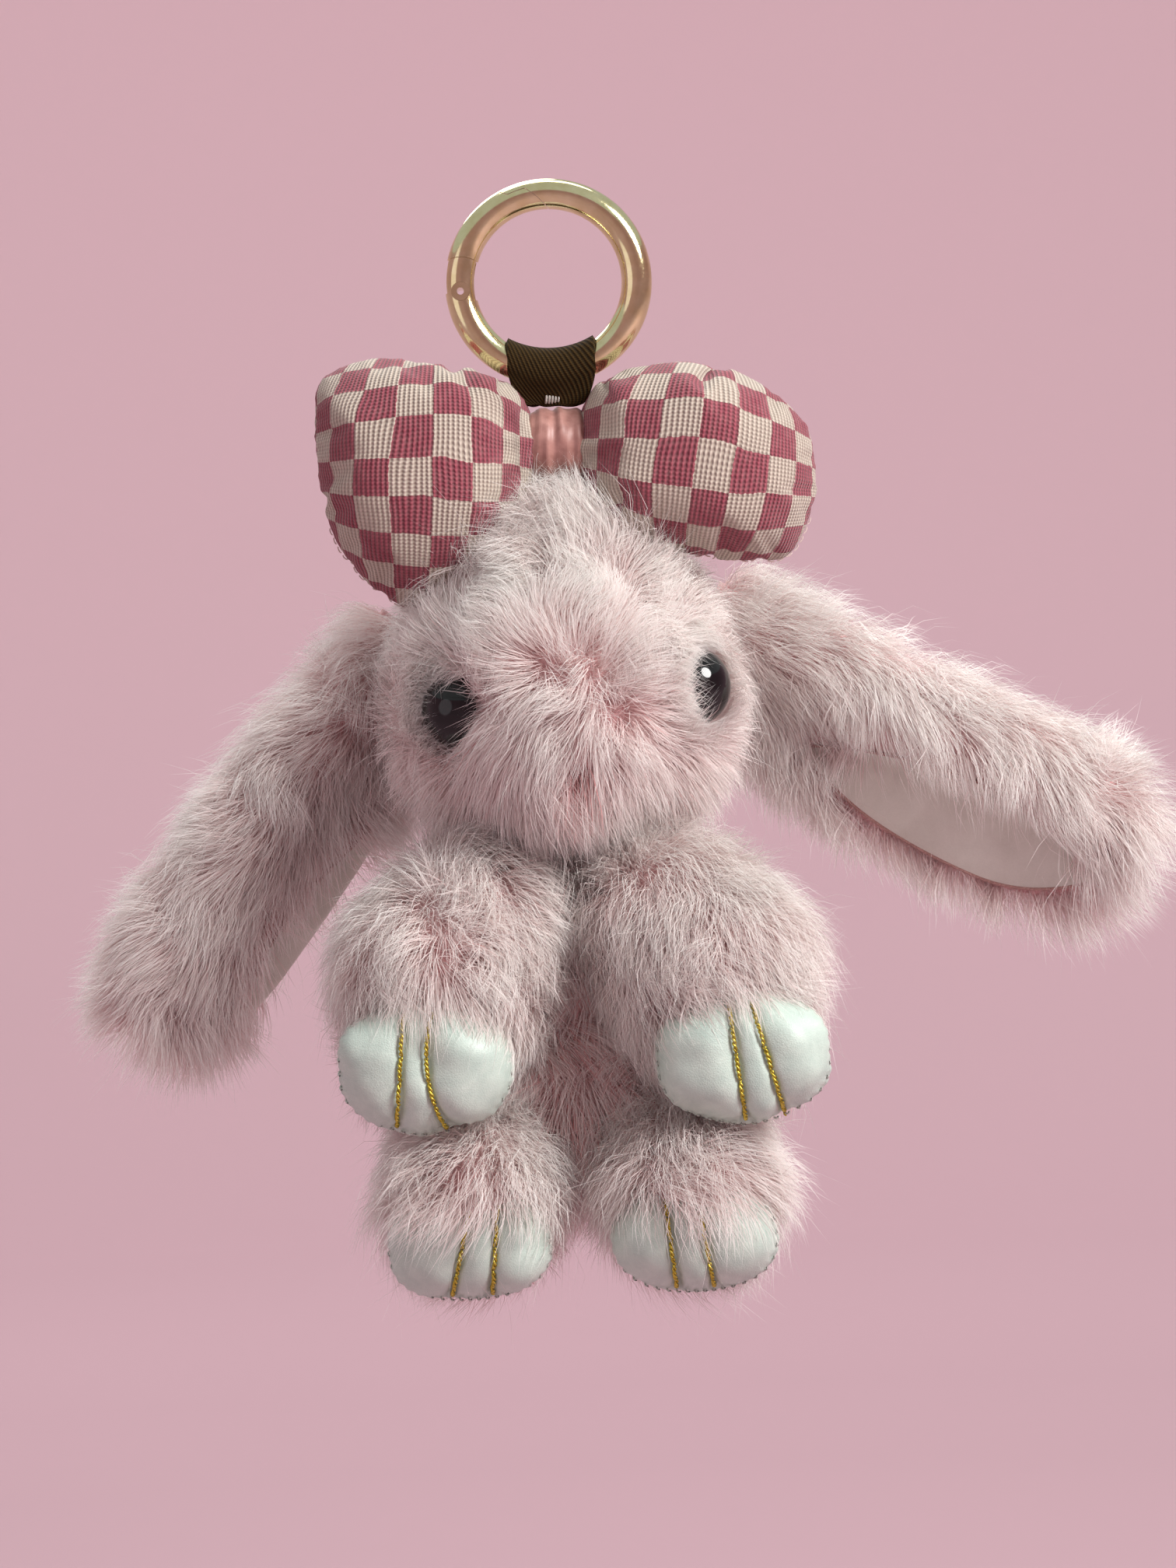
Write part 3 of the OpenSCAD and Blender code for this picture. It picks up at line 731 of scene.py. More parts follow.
def grow_fur(name, body, surface, per_mm2, comb, length, lift, tint, density=None, avoid=(), skip=None,
             clump_size=16, thread=0.14, droop=0.2, ruffle=0.55, bend=None, seed=1):
    """Covers a surface with strands, each a tapered ribbon of five triangles.

    comb, length, lift, tint, density and bend are functions of (points, normals), or numbers. bend says where
    the tips turn to. avoid lists forms that strands lie on and don't enter, and skip says which to leave out.
    """
    rng = np.random.default_rng(seed)
    points, faces = surface
    faces = triangles(faces)
    normals = point_normals(points, faces)
    a, b, c = (points[faces[:, k]] for k in range(3))
    area = np.linalg.norm(np.cross(b - a, c - a), axis=1) / 2
    if density is not None:
        area = area * density((a + b + c) / 3, unit(np.cross(b - a, c - a)))
    count = int(area.sum() * per_mm2 * FUR_SHARE)
    thread = thread / math.sqrt(FUR_SHARE)
    pick = rng.choice(len(faces), count, p=area / area.sum())
    r1, r2 = np.sqrt(rng.random(count)), rng.random(count)
    share = np.stack([1 - r1, r1 * (1 - r2), r1 * r2], 1)
    p = np.einsum("nk,nkd->nd", share, points[faces[pick]])
    n = unit(np.einsum("nk,nkd->nd", share, normals[faces[pick]]))
    keep = np.ones(count, bool)
    for form in avoid:
        keep &= form(p) > 0.1
    p, n = p[keep], n[keep]
    count = len(p)

    def at(value):
        return value(p, n) if callable(value) else np.full(count, float(value))

    way = comb(p, n) + ruffle * Waves(seed + 50, 18)(p) + 0.9 * ruffle * Waves(seed + 60, 6)(p)
    way = way - (way * n).sum(1, keepdims=True) * n
    way = unit(way)
    guard = rng.random(count) < 0.06
    reach = at(length) * rng.normal(1, 0.13, count).clip(0.6, 1.4) * np.where(guard, 1.22, 1.0)
    up = at(lift)[:, None]
    stray = rng.normal(0, 1, (count, 3)) * np.where(guard, 0.34, 0.2)[:, None]
    start = unit(up * n + (1 - up) * way + stray)
    turned = 0 if bend is None else bend(p, n)
    finish = unit(0.3 * up * n + way + np.array([0, 0, -droop]) + 1.2 * stray + turned)
    q0 = p - 0.3 * n
    q1 = q0 + reach[:, None] * 0.33 * start
    q2 = q1 + reach[:, None] * 0.33 * unit(0.55 * start + 0.45 * finish)
    q3 = q2 + reach[:, None] * 0.34 * finish

    # Strands lean together in small locks, and the locks in larger ones
    for size, pulls, low, high in ((clump_size, (0.0, 0.07, 0.22, 0.4), 0.2, 0.95),
                                   (clump_size * 12, (0.0, 0.03, 0.12, 0.24), 0.2, 1.0)):
        seeds = rng.choice(count, max(1, int(count / (size * FUR_SHARE))), replace=False)
        lock = nearest(p[seeds], p)
        strength = rng.uniform(low, high, len(seeds))[lock] * np.where(guard, 0.15, 1.0)
        leader = seeds[lock]
        apart = np.linalg.norm(p - p[leader], axis=1)
        strength = strength * np.exp(-(apart / 9.0) ** 2)
        q1, q2, q3 = (q + (strength * k)[:, None] * (q[leader] - q) for q, k in zip((q1, q2, q3), pulls[1:]))
        lock_tone = rng.normal(0, 1, len(seeds))[lock]

    for q in (q1, q2, q3):
        push_out(q, avoid, 0.35)
        q[:, 1] = np.maximum(q[:, 1], FUR_FRONT)
    if skip is not None:
        keep = ~skip(p, n, q1, q2, q3, rng)
        p, n, q0, q1, q2, q3, guard, lock_tone = (v[keep] for v in (p, n, q0, q1, q2, q3, guard, lock_tone))
        count = len(p)

    roll = rng.normal(0, 0.55, count)[:, None]
    width = thread * rng.uniform(0.7, 1.25, count) * np.where(guard, 0.6, 1.0)
    path = [q0, q1, q2, q3]
    ribbon = np.empty((count, 7, 3))
    for k, wide in enumerate((0.8, 1.0, 0.62)):
        ahead = unit(path[k + 1] - path[max(k - 1, 0)])
        side = unit(np.cross(ahead, n))
        side = unit(side * np.cos(roll) + np.cross(ahead, side) * np.sin(roll))
        half = side * (width * wide / 2)[:, None]
        ribbon[:, 2 * k] = path[k] - half
        ribbon[:, 2 * k + 1] = path[k] + half
    ribbon[:, 6] = q3
    base = np.array([[0, 1, 3], [0, 3, 2], [2, 3, 5], [2, 5, 4], [4, 5, 6]])
    tris = (np.arange(count)[:, None, None] * 7 + base).reshape(-1, 3)
    tone = tint(p, n) if callable(tint) else np.full(count, float(tint))
    tone = tone + 0.16 * rng.normal(0, 1, count) + 0.1 * lock_tone + np.where(guard, 0.5, 0)
    uv = np.empty((count, 7, 2))
    uv[:, :, 0] = np.clip(tone, 0.01, 0.99)[:, None]
    uv[:, :, 1] = [0.01, 0.01, 0.34, 0.34, 0.68, 0.68, 0.99]
    mesh = mesh_from(name, ribbon.reshape(-1, 3), tris)
    put_uv(mesh, "OFBake", uv.reshape(-1, 2))
    return piece(name, mesh, "fur", body)


def rosy_low(base, depth):
    """Tint that goes rosier where the surface faces down and whiter where it faces up, painted shade and
    light from above, and that changes by each listed spot (centre, radius, strength): rosier for a positive
    strength, whiter for a negative one.
    """
    def tint(p, n):
        return base + 0.12 * n[:, 2] - sum(k * near(p, centre, r) for centre, r, k in depth)
    return tint


# ---------------------------------------------------------------- ring and eyes

HARD_PARTS = {
    "ring_gold": ["ring_body", "ring_gate", "gate_rivet"],
    "spring_steel": ["gate_spring", "gate_plunger"],
    "eye_plastic": ["eye_left", "eye_right"],
    "washer_plastic": ["eye_left_washer", "eye_right_washer"],
}


def finish_hard_parts():
    """The hard CAD nodes keep their shape and get their looks."""
    for look, nodes in HARD_PARTS.items():
        for node in nodes:
            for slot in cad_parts[node].material_slots:
                slot.material = MATERIALS[look]


# ---------------------------------------------------------------- strap

RING_Z = -12.4
WIRE_RING_R = 15.0
STRAP_END_Z = -33.3


def make_webbing():
    """One length of webbing folded over the wire, its ends drawn in to a narrow sewn end."""
    wide, narrow, thick, r = 14.8, 7.8, 0.95, 3.4
    drop = RING_Z - WIRE_RING_R - STRAP_END_Z
    turn = math.acos(r / drop)
    straight = math.sqrt(drop ** 2 - r ** 2)
    wrap = 2 * (math.pi - turn)
    total = 2 * straight + r * wrap
    rows, columns = 72, 22
    points, uv = [], []
    for i in range(rows + 1):
        s = total * i / rows
        if s < straight or s > total - straight:
            t = min(s, total - s) / straight
            low = np.array([-thick / 2 - 0.06, -drop])
            high = np.array([-r * math.sin(turn), -r * math.cos(turn)])
            y, z = low + (high - low) * t
            y += 0.35 * math.sin(math.pi * t) * 0.6
            y = y if s < straight else -y
            width = narrow + (wide - narrow) * (t ** 0.38)
            hug = t
        else:
            a = -math.pi / 2 - turn - (s - straight) / r
            y, z = r * math.cos(a), r * math.sin(a)
            width, hug = wide, 1.0
        for k in range(columns + 1):
            u = k / columns - 0.5
            x = u * width
            rise = hug * (WIRE_RING_R - math.sqrt(WIRE_RING_R ** 2 - x * x))
            fold = (1 - hug) * 0.28 * math.sin(u * 9.0)
            points.append((x, y + fold * (1 if y > 0 else -1), RING_Z - WIRE_RING_R + z + rise))
            uv.append((u * wide, s))
    mesh = mesh_from("webbing", points, grid_quads(rows + 1, columns + 1))
    put_uv(mesh, "weave", uv)
    obj = piece("webbing", mesh, "webbing", "strap", ["webbing_loop"])
    thicken(obj, thick, 0)
    bevel = obj.modifiers.new("edge", "BEVEL")
    bevel.width = 0.22 * MM
    bevel.segments = 2
    bevel.limit_method = "ANGLE"
    bevel.angle_limit = math.radians(50)


def stitch_path(a, b, out, rise, count=7):
    """Points of one stitch: up out of the cloth at a, over, and back in at b."""
    a, b, out = (np.asarray(v, float) for v in (a, b, out))
    t = np.linspace(0, 1, count)
    return a + (b - a) * t[:, None] + out * (rise * (np.sin(math.pi * t) ** 0.6 * 1.35 - 0.35))[:, None]


def make_bartack():
    parts = []
    for face in (-1, 1):
        for i in range(5):
            x = (i - 2) * 0.52
            low = (x - 0.12, face * 1.15, STRAP_END_Z + 0.35)
            high = (x + 0.12, face * 1.3, STRAP_END_Z + 2.1 + 0.15 * math.sin(3.0 * i))
            parts.append(tube(stitch_path(low, high, (0, face, 0), 0.34), 0.2, 8))
    threads("bartack", parts, "bartack_thread", "strap", ["webbing_bartack"])


WAIST_X = 0.5


def wound_band(name, rows, columns, half, middle_z, radius):
    """A band wound round the bow's waist, with each point's turn and its share across, from -1 to 1."""
    around = 2 * math.pi * np.arange(rows) / rows
    turns, shares = (v.ravel() for v in np.meshgrid(around, np.linspace(-1, 1, columns + 1), indexing="ij"))
    r = radius(turns, shares)
    points = np.stack([WAIST_X + shares * half, r * np.cos(turns), middle_z + r * np.sin(turns)], 1)
    mesh = mesh_from(name, points, grid_quads(rows, columns + 1, round_rows=True)[:, ::-1])
    return mesh, turns, shares


def make_satin():
    """A satin strip drawn tight round the bow's waist, so that it gathers in folds that run round it."""
    r, half, flat_half = 6.45, 4.7, 5.2
    wave = Waves(7, 12)

    def radius(a, u):
        swing = wave(np.stack([u * half, 3 * np.cos(a), 3 * np.sin(a)], 1))
        fold = 0.24 * np.sin(u * 9.5 + 0.6 * np.sin(a + 0.6) + 0.7 * swing[:, 0])
        fold += 0.1 * np.sin(u * 17.0 + 1.3 * np.sin(2 * a) + 1.2 * swing[:, 1])
        return r + fold * (1 - u ** 4) - 0.9 * u ** 6

    mesh, a, u = wound_band("satin_band_cloth", 96, 44, half, -40.3, radius)
    put_uv(mesh, "weave", np.stack([u * flat_half, a * r], 1))
    obj = piece("satin_band_cloth", mesh, "satin", "head", ["satin_band"])
    thicken(obj, 0.35)
    smooth(obj)


# ---------------------------------------------------------------- bow

# Each lobe's outline seen from the front, from its gathered end round by its top
LOBE_OUTLINES = {
    "left": [(-0.6, -40), (-2.4, -36.6), (-4.8, -32.2), (-8.4, -28.8), (-18, -26.2), (-28, -24.5),
             (-35, -25.4), (-39.6, -28.6), (-40.6, -36.5), (-39.9, -46), (-37.6, -55.5), (-32.4, -62.5),
             (-25.5, -67), (-18.5, -65.5), (-10.5, -59.5), (-5.2, -51.5), (-2.4, -44.6)],
    "right": [(1, -41), (3.6, -37.4), (5.4, -33), (9.2, -29.2), (18.9, -27), (27.5, -28), (36.5, -32),
              (42.6, -38), (44.2, -45), (43.6, -52), (39.5, -60), (31.5, -61), (22, -59.5), (12.5, -56),
              (6.4, -50.5), (3.4, -45.2)],
}
LOBE_TURN = {"left": math.radians(-4), "right": math.radians(-9)}
SIM_SCALE = 25.0


def smooth_outline(corners, count):
    """Evenly spaced points on a closed smooth curve through the corners."""
    c = np.array(corners, float)
    n = len(c)
    t = np.arange(24) / 24
    out = []
    for i in range(n):
        p0, p1, p2, p3 = c[i - 1], c[i], c[(i + 1) % n], c[(i + 2) % n]
        for s in t:
            out.append(0.5 * (2 * p1 + (p2 - p0) * s + (2 * p0 - 5 * p1 + 4 * p2 - p3) * s ** 2
                              + (3 * p1 - p0 - 3 * p2 + p3) * s ** 3))
    out = np.array(out)
    far = np.concatenate([[0], np.cumsum(np.linalg.norm(np.roll(out, -1, 0) - out, axis=1))])
    loop = np.concatenate([out, out[:1]])
    at = np.linspace(0, far[-1], count, endpoint=False)
    return np.stack([np.interp(at, far, loop[:, k]) for k in (0, 1)], 1)


def inside_outline(loop, pts, margin):
    """Which points are inside the closed loop and at least margin from it."""
    x, z = pts[:, 0:1], pts[:, 1:2]
    a, b = loop, np.roll(loop, -1, 0)
    crosses = ((a[:, 1] > z) != (b[:, 1] > z)) & (
        x < (b[:, 0] - a[:, 0]) * (z - a[:, 1]) / (b[:, 1] - a[:, 1] + 1e-12) + a[:, 0])
    near = np.sqrt(((pts[:, None] - loop[None]) ** 2).sum(2)).min(1)
    return (crosses.sum(1) % 2 == 1) & (near > margin), near


def sewn_pillow(loop, spacing):
    """Two flat panels of cloth that share the loop: points, triangles and each point's side."""
    from mathutils.geometry import delaunay_2d_cdt
    low, high = loop.min(0), loop.max(0)
    xs = np.arange(low[0], high[0], spacing)
    zs = np.arange(low[1], high[1], spacing * 0.866)
    grid = np.array([(x + (j % 2) * spacing / 2, z) for j, z in enumerate(zs) for x in xs])
    ok, _ = inside_outline(loop, grid, spacing * 0.55)
    inner = grid[ok]
    n = len(loop)
    flat = np.concatenate([loop, inner])
    edges = [(i, (i + 1) % n) for i in range(n)]
    made = delaunay_2d_cdt([Vector(v) for v in flat], edges, [list(range(n))], 1, 1e-6)
    where = np.array([list(v) for v in made[0]])
    tris = np.array([f for f in made[2]], np.int32)
    kin = np.linalg.norm(where[:, None] - flat[None], axis=2).argmin(1)
    edge = kin < n
    back = np.where(edge, np.arange(len(where)), 0)
    back[~edge] = len(where) + np.arange((~edge).sum())
    points = np.concatenate([where, where[~edge]])
    side = np.concatenate([np.where(edge, 0, -1), np.ones((~edge).sum())])
    front = tris
    rear = back[tris][:, ::-1]
    return points, np.concatenate([front, rear]), side, edge


def blow_up(name, flat, faces, side, pinned, pressure, cap):
    """Cloth simulation of a sewn pillow filled from inside, at a size that suits the solver."""
    _, near = inside_outline(flat[side == 0], flat, 0)
    start = np.stack([flat[:, 0], side * (0.4 + 1.6 * np.sqrt(np.clip(near / 12, 0, 1))), flat[:, 1]], 1)
    middle = start.mean(0)
    mesh = mesh_from(name, (start - middle) * SIM_SCALE, faces)
    obj = bpy.data.objects.new(name, mesh)
    bpy.context.scene.collection.objects.link(obj)
    group = obj.vertex_groups.new(name="gathered")
    for i in np.flatnonzero(pinned > 0):
        group.add([int(i)], float(pinned[i]), "REPLACE")
    cloth = obj.modifiers.new("cloth", "CLOTH")
    setup = cloth.settings
    setup.quality = 8
    setup.mass = 0.25
    setup.tension_stiffness = setup.compression_stiffness = 22
    setup.shear_stiffness = 12
    setup.bending_stiffness = 0.35
    setup.air_damping = 4
    setup.use_pressure = True
    setup.uniform_pressure_force = pressure
    setup.vertex_group_mass = "gathered"
    setup.effector_weights.gravity = 0
    cloth.collision_settings.use_collision = False
    scene = bpy.context.scene
    cloth.point_cache.frame_start, cloth.point_cache.frame_end = 1, 24
    for f in range(1, 25):
        scene.frame_set(f)
    done = obj.evaluated_get(bpy.context.evaluated_depsgraph_get()).data
    co = np.empty(len(done.vertices) * 3, np.float32)
    done.vertices.foreach_get("co", co)
    moved = co.reshape(-1, 3).astype(float) / MM / SIM_SCALE + middle
    bpy.data.objects.remove(obj)
    bpy.data.meshes.remove(mesh)
    scene.frame_set(1)
    step = moved - start
    far = np.linalg.norm(step, axis=1, keepdims=True)
    return start + step * np.minimum(1, cap / np.maximum(far, 1e-9))


def keep_outline(done, loop, near):
    """Moves a filled pillow so that its seam follows its outline again, but for its small puckers."""
    count = len(loop)
    drift = loop - done[:count][:, [0, 2]]
    smooth = np.zeros_like(drift)
    spread = np.exp(-(np.arange(-3, 4) / 1.4) ** 2)
    for k, share in zip(range(-3, 4), spread / spread.sum()):
        smooth += share * np.roll(drift, k, 0)
    flat = done[:, [0, 2]]
    far = ((flat[:, None] - flat[None, :count]) ** 2).sum(2)
    weight = np.exp(-far / 3.0 ** 2) + 1e-9
    done[:, [0, 2]] += (weight @ smooth) / weight.sum(1, keepdims=True) * np.exp(-near / 14.0)[:, None]
    return done


def make_lobe(side):
    s = SIDES[side]
    loop = smooth_outline(LOBE_OUTLINES[side], 110)
    centre = loop.mean(0)
    flat, faces, cloth_side, edge = sewn_pillow(loop, 1.5)
    waist = np.clip(1 - (np.abs(flat[:, 0]) - 3.6) / 2.5, 0, 1)
    _, near = inside_outline(loop, flat, 0)
    grown_flat = centre + (flat - centre) * [1.1, 1.1]
    done = blow_up("lobe_cloth", grown_flat, faces, cloth_side, (waist > 0.6) * 1.0, 9.0, 16.0)
    # Fit to the lobe's own size
    low, high = done.min(0), done.max(0)
    want_low = np.array([loop[:, 0].min(), -13.9, loop[:, 1].min()])
    want_high = np.array([loop[:, 0].max(), 7.6, loop[:, 1].max()])
    done = want_low + (done - low) / (high - low) * (want_high - want_low)
    done = keep_outline(done, loop, near)
    # The gathered end is stuffed too, right up to the satin and under it
    middle_y = -3.15 + 3.15 * smooth_step(np.abs(done[:, 0]), 14.0, 3.0)
    stuffed = 6.8 * np.sqrt(1 - (1 - np.clip(near / 4.4, 0, 1)) ** 2)
    stuffed += 2.5 * smooth_step(np.abs(done[:, 0]), 4.5, 13.0) * np.clip(near / 9.0, 0, 1)
    by_waist = smooth_step(np.abs(done[:, 0]), 17.0, 9.0)
    plain = middle_y + cloth_side * stuffed
    done[:, 1] = done[:, 1] * (1 - by_waist) + plain * by_waist
    # Pleats run out from the gathered end
    pull = smooth_step(np.abs(done[:, 0]), 18.0, 5.0)
    ray = np.arctan2(done[:, 2] + 41, np.abs(done[:, 0]) - 1.0)
    done[:, 1] += cloth_side * 0.5 * np.sin(ray * 10 + s) * pull * np.clip(near / 3.0, 0, 1)
    # Small puckers where the panels are sewn together
    run = np.arctan2(flat[:, 1] - centre[1], flat[:, 0] - centre[0])
    pucker = 0.28 * np.exp(-near / 3.0) * np.sin(run * 34 + 2 * np.sin(run * 5)) * (near > 0.2)
    done[:, 1] += cloth_side * pucker
    name = f"bow_{side}"
    mesh = mesh_from(name, done, faces)
    turn = LOBE_TURN[side]
    rise = 1 - np.clip(near / 13.0, 0, 1)
    away = centre + (flat - centre) * (1 + 0.2 * rise ** 2)[:, None] - [0, -40.4]
    uv = np.stack([away[:, 0] * math.cos(turn) + away[:, 1] * math.sin(turn),
                   -away[:, 0] * math.sin(turn) + away[:, 1] * math.cos(turn)], 1)
    put_uv(mesh, "weave", uv + [60, 60])
    obj = piece(name, mesh, "bow_fabric", "head",
                [f"bow_{side}_cover", f"bow_{side}_stuffing"])
    smooth(obj)
    # Stitches that close the lobe, at its low outer corner
    rim = done[np.flatnonzero(edge)]
    order = np.argsort(np.arctan2(rim[:, 2] - centre[1], rim[:, 0] - centre[0]))
    rim = rim[order]
    rim = rim[(np.abs(rim[:, 0]) > 22) & (rim[:, 2] < centre[1] - 8)]
    out = unit(rim - np.array([centre[0], -3, centre[1]]))
    far = np.concatenate([[0], np.cumsum(np.linalg.norm(np.diff(rim, axis=0), axis=1))])
    parts = []
    step = 1.7
    for at in np.arange(0.5, far[-1] - 1.5, step):
        a = np.array([np.interp(at, far, rim[:, k]) for k in range(3)])
        b = np.array([np.interp(at + step * 0.7, far, rim[:, k]) for k in range(3)])
        o = np.array([np.interp(at, far, out[:, k]) for k in range(3)])
        parts.append(tube(stitch_path(a - 0.15 * o, b - 0.15 * o, o, 0.12), 0.13, 6))
    threads(f"bow_{side}_seam", parts, "seam_thread", "head")


def make_knot():
    """The bow's pinched middle: check cloth gathered in deep pleats."""
    half = 4.4

    def radius(a, u):
        return 5.0 - 0.9 * u ** 4 + 0.3 * np.sin(11 * a + 2 * u)

    mesh, a, u = wound_band("bow_knot", 90, 22, half, -40.4, radius)
    put_uv(mesh, "weave", np.stack([60 + u * half, 60 + a * 9], 1))
    obj = piece("bow_knot", mesh, "bow_fabric", "head", ["bow_waist"])
    thicken(obj, 0.5)


# ---------------------------------------------------------------- head

def make_head():
    surface = star_shape(grown(head_form, -SKIN_INSET), (0, -4, -80), 45)
    make_skin("head_skin", surface, "head", ["head_cover", "head_stuffing"])
    tuft_tip = np.array([0.5, -14.0, -34.0])

    def by_left_eye(p):
        """Where fur stands over the outer part of the left eye."""
        away = p - EYES["left"]
        return (np.exp(-(np.linalg.norm(away, axis=1) / 11.0) ** 4) * smooth_step(-away[:, 0], 1, 4))[:, None]

    def bend(p, n):
        return by_left_eye(p) * np.array([2.2, -0.4, 0.0])

    def comb(p, n):
        out = unit(p - WHORL)
        back = smooth_step(p[:, 1], -6, 14)[:, None]
        way = out * (1 - back) + np.array([0, 0.2, -1.0]) * back
        top = (smooth_step(p[:, 2], -66, -56) * smooth_step(-np.abs(p[:, 0]), -17, -9)
               * smooth_step(-p[:, 1], -6, 2))[:, None]
        way = way * (1 - top) + unit(tuft_tip - p) * top * 1.3
        shoulder = (smooth_step(p[:, 2], -72, -62) * smooth_step(np.abs(p[:, 0]), 8, 14))[:, None]
        outward = np.array([0.5, 0, 0]) * np.sign(p[:, :1]) + np.array([0, -0.35, 0.9])
        way = way * (1 - shoulder) + outward * shoulder
        low = smooth_step(-p[:, 2], 84, 98)[:, None] * (1 - back)
        way = way + low * np.array([0, 0.15, -1.0])
        for eye in EYES.values():
            away = p - eye
            close = 0.35 * np.exp(-((np.linalg.norm(away, axis=1) - 5) / 4.5).clip(0) ** 2)[:, None]
            way = way * (1 - close) + unit(away) * close
        over = by_left_eye(p)
        way = way * (1 - 0.9 * over) + np.array([0.9, -0.9, 0.1]) * 0.9 * over
        return way

    def length(p, n):
        base = 10.5 + 3.5 * smooth_step(p[:, 2], -68, -54) + 3.5 * smooth_step(-p[:, 2], 84, 98)
        base = base - 1.5 * near(p, WHORL, 7.0) - 1.5 * smooth_step(p[:, 1], 4, 20)
        for side, eye in EYES.items():
            close = np.exp(-((np.linalg.norm(p - eye, axis=1) - 6) / 5).clip(0) ** 2)
            base = base - (2.0 if side == "right" else 0.5) * close
        return base - 4.0 * near(p, LIP, 4.5) + 1.5 * by_left_eye(p)[:, 0]

    def lift(p, n):
        by_height = 0.08 * smooth_step(p[:, 2], -62, -52) - 0.12 * smooth_step(-p[:, 2], 84, 96)
        return 0.6 + 0.26 * near(p, WHORL, 9.0) + by_height

    def skip(p, n, q1, q2, q3, rng):
        lost = np.zeros(len(p), bool)
        for side, eye in EYES.items():
            ahead = eye_ahead(side)
            wide, tall, aside = (3.1, 5.5, 1.7) if side == "right" else (2.3, 4.8, 1.3)
            covers = np.zeros(len(p), bool)
            for q in (p, q1, q2, q3, (q1 + q2) / 2, (q2 + q3) / 2):
                away = q - eye - np.array([aside, 0, 0])
                covers |= (((away[:, 0] / wide) ** 2 + (away[:, 2] / tall) ** 2 < 1)
                           & (away @ ahead > -1) & (away[:, 1] < 4))
            lost |= covers & (rng.random(len(p)) > 0.08)
            root = p - eye
            height = root @ ahead
            lost |= (np.linalg.norm(root - height[:, None] * ahead, axis=1) < EYE_BARE) & (height > -8)
        covers = np.zeros(len(p), bool)
        for q in (q2, q3, (q2 + q3) / 2):
            away = q - MOUTH
            covers |= ((away[:, 0] / 2.8) ** 2 + (away[:, 2] / 2.0) ** 2 < 1) & (q[:, 1] < -20)
        return lost | (covers & (p[:, 2] > -93.5) & (rng.random(len(p)) > 0.25))

    # A deep rose spot at the mouth, rosier beside each eye between eye and muzzle (painted shade in these
    # hollows), and whiter on the muzzle and the forehead.
    tint = rosy_low(0.6, [((1.2, -28.5, -96.5), 3.6, 1.5), ((-11, -24, -86), 8, 0.15),
                          ((11, -24, -86), 8, 0.15), ((0, -30, -92), 7, -0.4), ((0, -24, -64), 10, -0.2)])
    avoid = [grown(lobe_forms[s], 0.3) for s in SIDES] + [eye_form(s) for s in SIDES]
    halves = {"front": (9.0, 11, lambda p, n: (p[:, 1] < -6) * 1.0),
              "back": (6.5, 12, lambda p, n: (p[:, 1] >= -6) * 1.0)}
    for half, (per_mm2, seed, density) in halves.items():
        grow_fur("head_fur_" + half, "head", surface, per_mm2, comb, length, lift, tint, density=density,
                 avoid=avoid, skip=skip, droop=0.12, bend=bend, seed=seed)

    # Short dense fur that closes in round each eye
    for side, eye in EYES.items():
        ahead = eye_ahead(side)

        def rim(p, n):
            away = p - eye
            off = np.linalg.norm(away - (away @ ahead)[:, None] * ahead, axis=1)
            ring = (off > 5.5) & (off < 10.0) & (np.abs(away @ ahead) < 9)
            return ring * (1.0 + 4.0 * smooth_step(-away[:, 0], 1, 4))

        def inward(p, n):
            return unit(eye + ahead * 3.0 + np.array([0.9, 0, 0]) - p)

        def rim_length(p, n):
            return np.random.default_rng(5).uniform(4.0, 10.0, len(p))

        grow_fur(f"eye_{side}_fur", "head", surface, 14.0, inward, rim_length, 0.76, tint, density=rim,
                 avoid=avoid, skip=skip, droop=0.0, ruffle=0.3, thread=0.12, seed=15)


# ---------------------------------------------------------------- ears

EAR_ROOT = np.array([25.0, 16.0, -74.0])
EAR_TWIST = math.radians(12)
EAR_LENGTH = 84.0
EARS = {
    # fall below level, half-width, the lining's middle and half-spread round the ear, in degrees
    "left": dict(fall=53, half=13.0, thick=5.4, shift=1.6, middle=194, spread=40),
    "right": dict(fall=29, half=14.4, thick=5.2, shift=0.0, middle=237, spread=42),
}


def ear_frame(side):
    """Turns points of an ear's own frame (along, to the back, across upwards) into the part's."""
    s, fall = SIDES[side], math.radians(EARS[side]["fall"])
    twist = np.array([[1, 0, 0], [0, math.cos(EAR_TWIST), -math.sin(EAR_TWIST)],
                      [0, math.sin(EAR_TWIST), math.cos(EAR_TWIST)]])
    turn = np.array([[math.cos(fall), 0, math.sin(fall)], [0, 1, 0], [-math.sin(fall), 0, math.cos(fall)]])
    both = turn @ twist

    def place(p):
        out = p @ both.T + EAR_ROOT
        out[:, 0] *= s
        return out
    return place


def ear_width(side, t):
    """Half the ear's width and its sag, t of the way along it."""
    ear = EARS[side]
    width = ear["half"] * (0.72 + 0.28 * np.sin(np.clip(t / 0.5, 0, 1) * math.pi / 2) ** 1.1)
    end = np.sqrt(np.clip(1 - ((t - 0.72) / 0.28).clip(0) ** 2, 0, 1))
    sag = -1.5 * np.sin(math.pi * t * 0.9) + ear["shift"] * smooth_step(t, 0.1, 0.4)
    return width * end, end, sag


def ear_section(side, t, angle):
    """A point of the ear's skin. The angle goes from the upper edge by the back and the lower edge."""
    thick = EARS[side]["thick"]
    width, end, sag = ear_width(side, t)
    sin = np.sin(angle)
    upper = smooth_step(np.cos(angle), -0.25, 0.55)
    deep = np.where(sin > 0, thick * 0.95, thick * (0.42 + 0.75 * upper))
    full = 0.75 + 0.25 * np.sin(math.pi * np.clip(t, 0, 1))
    back = deep * sin * full * end ** 0.8
    roll = -1.6 * upper * np.sin(math.pi * np.clip(t, 0, 1))
    return np.stack([t * EAR_LENGTH, back + roll, width * np.cos(angle) + sag], -1)


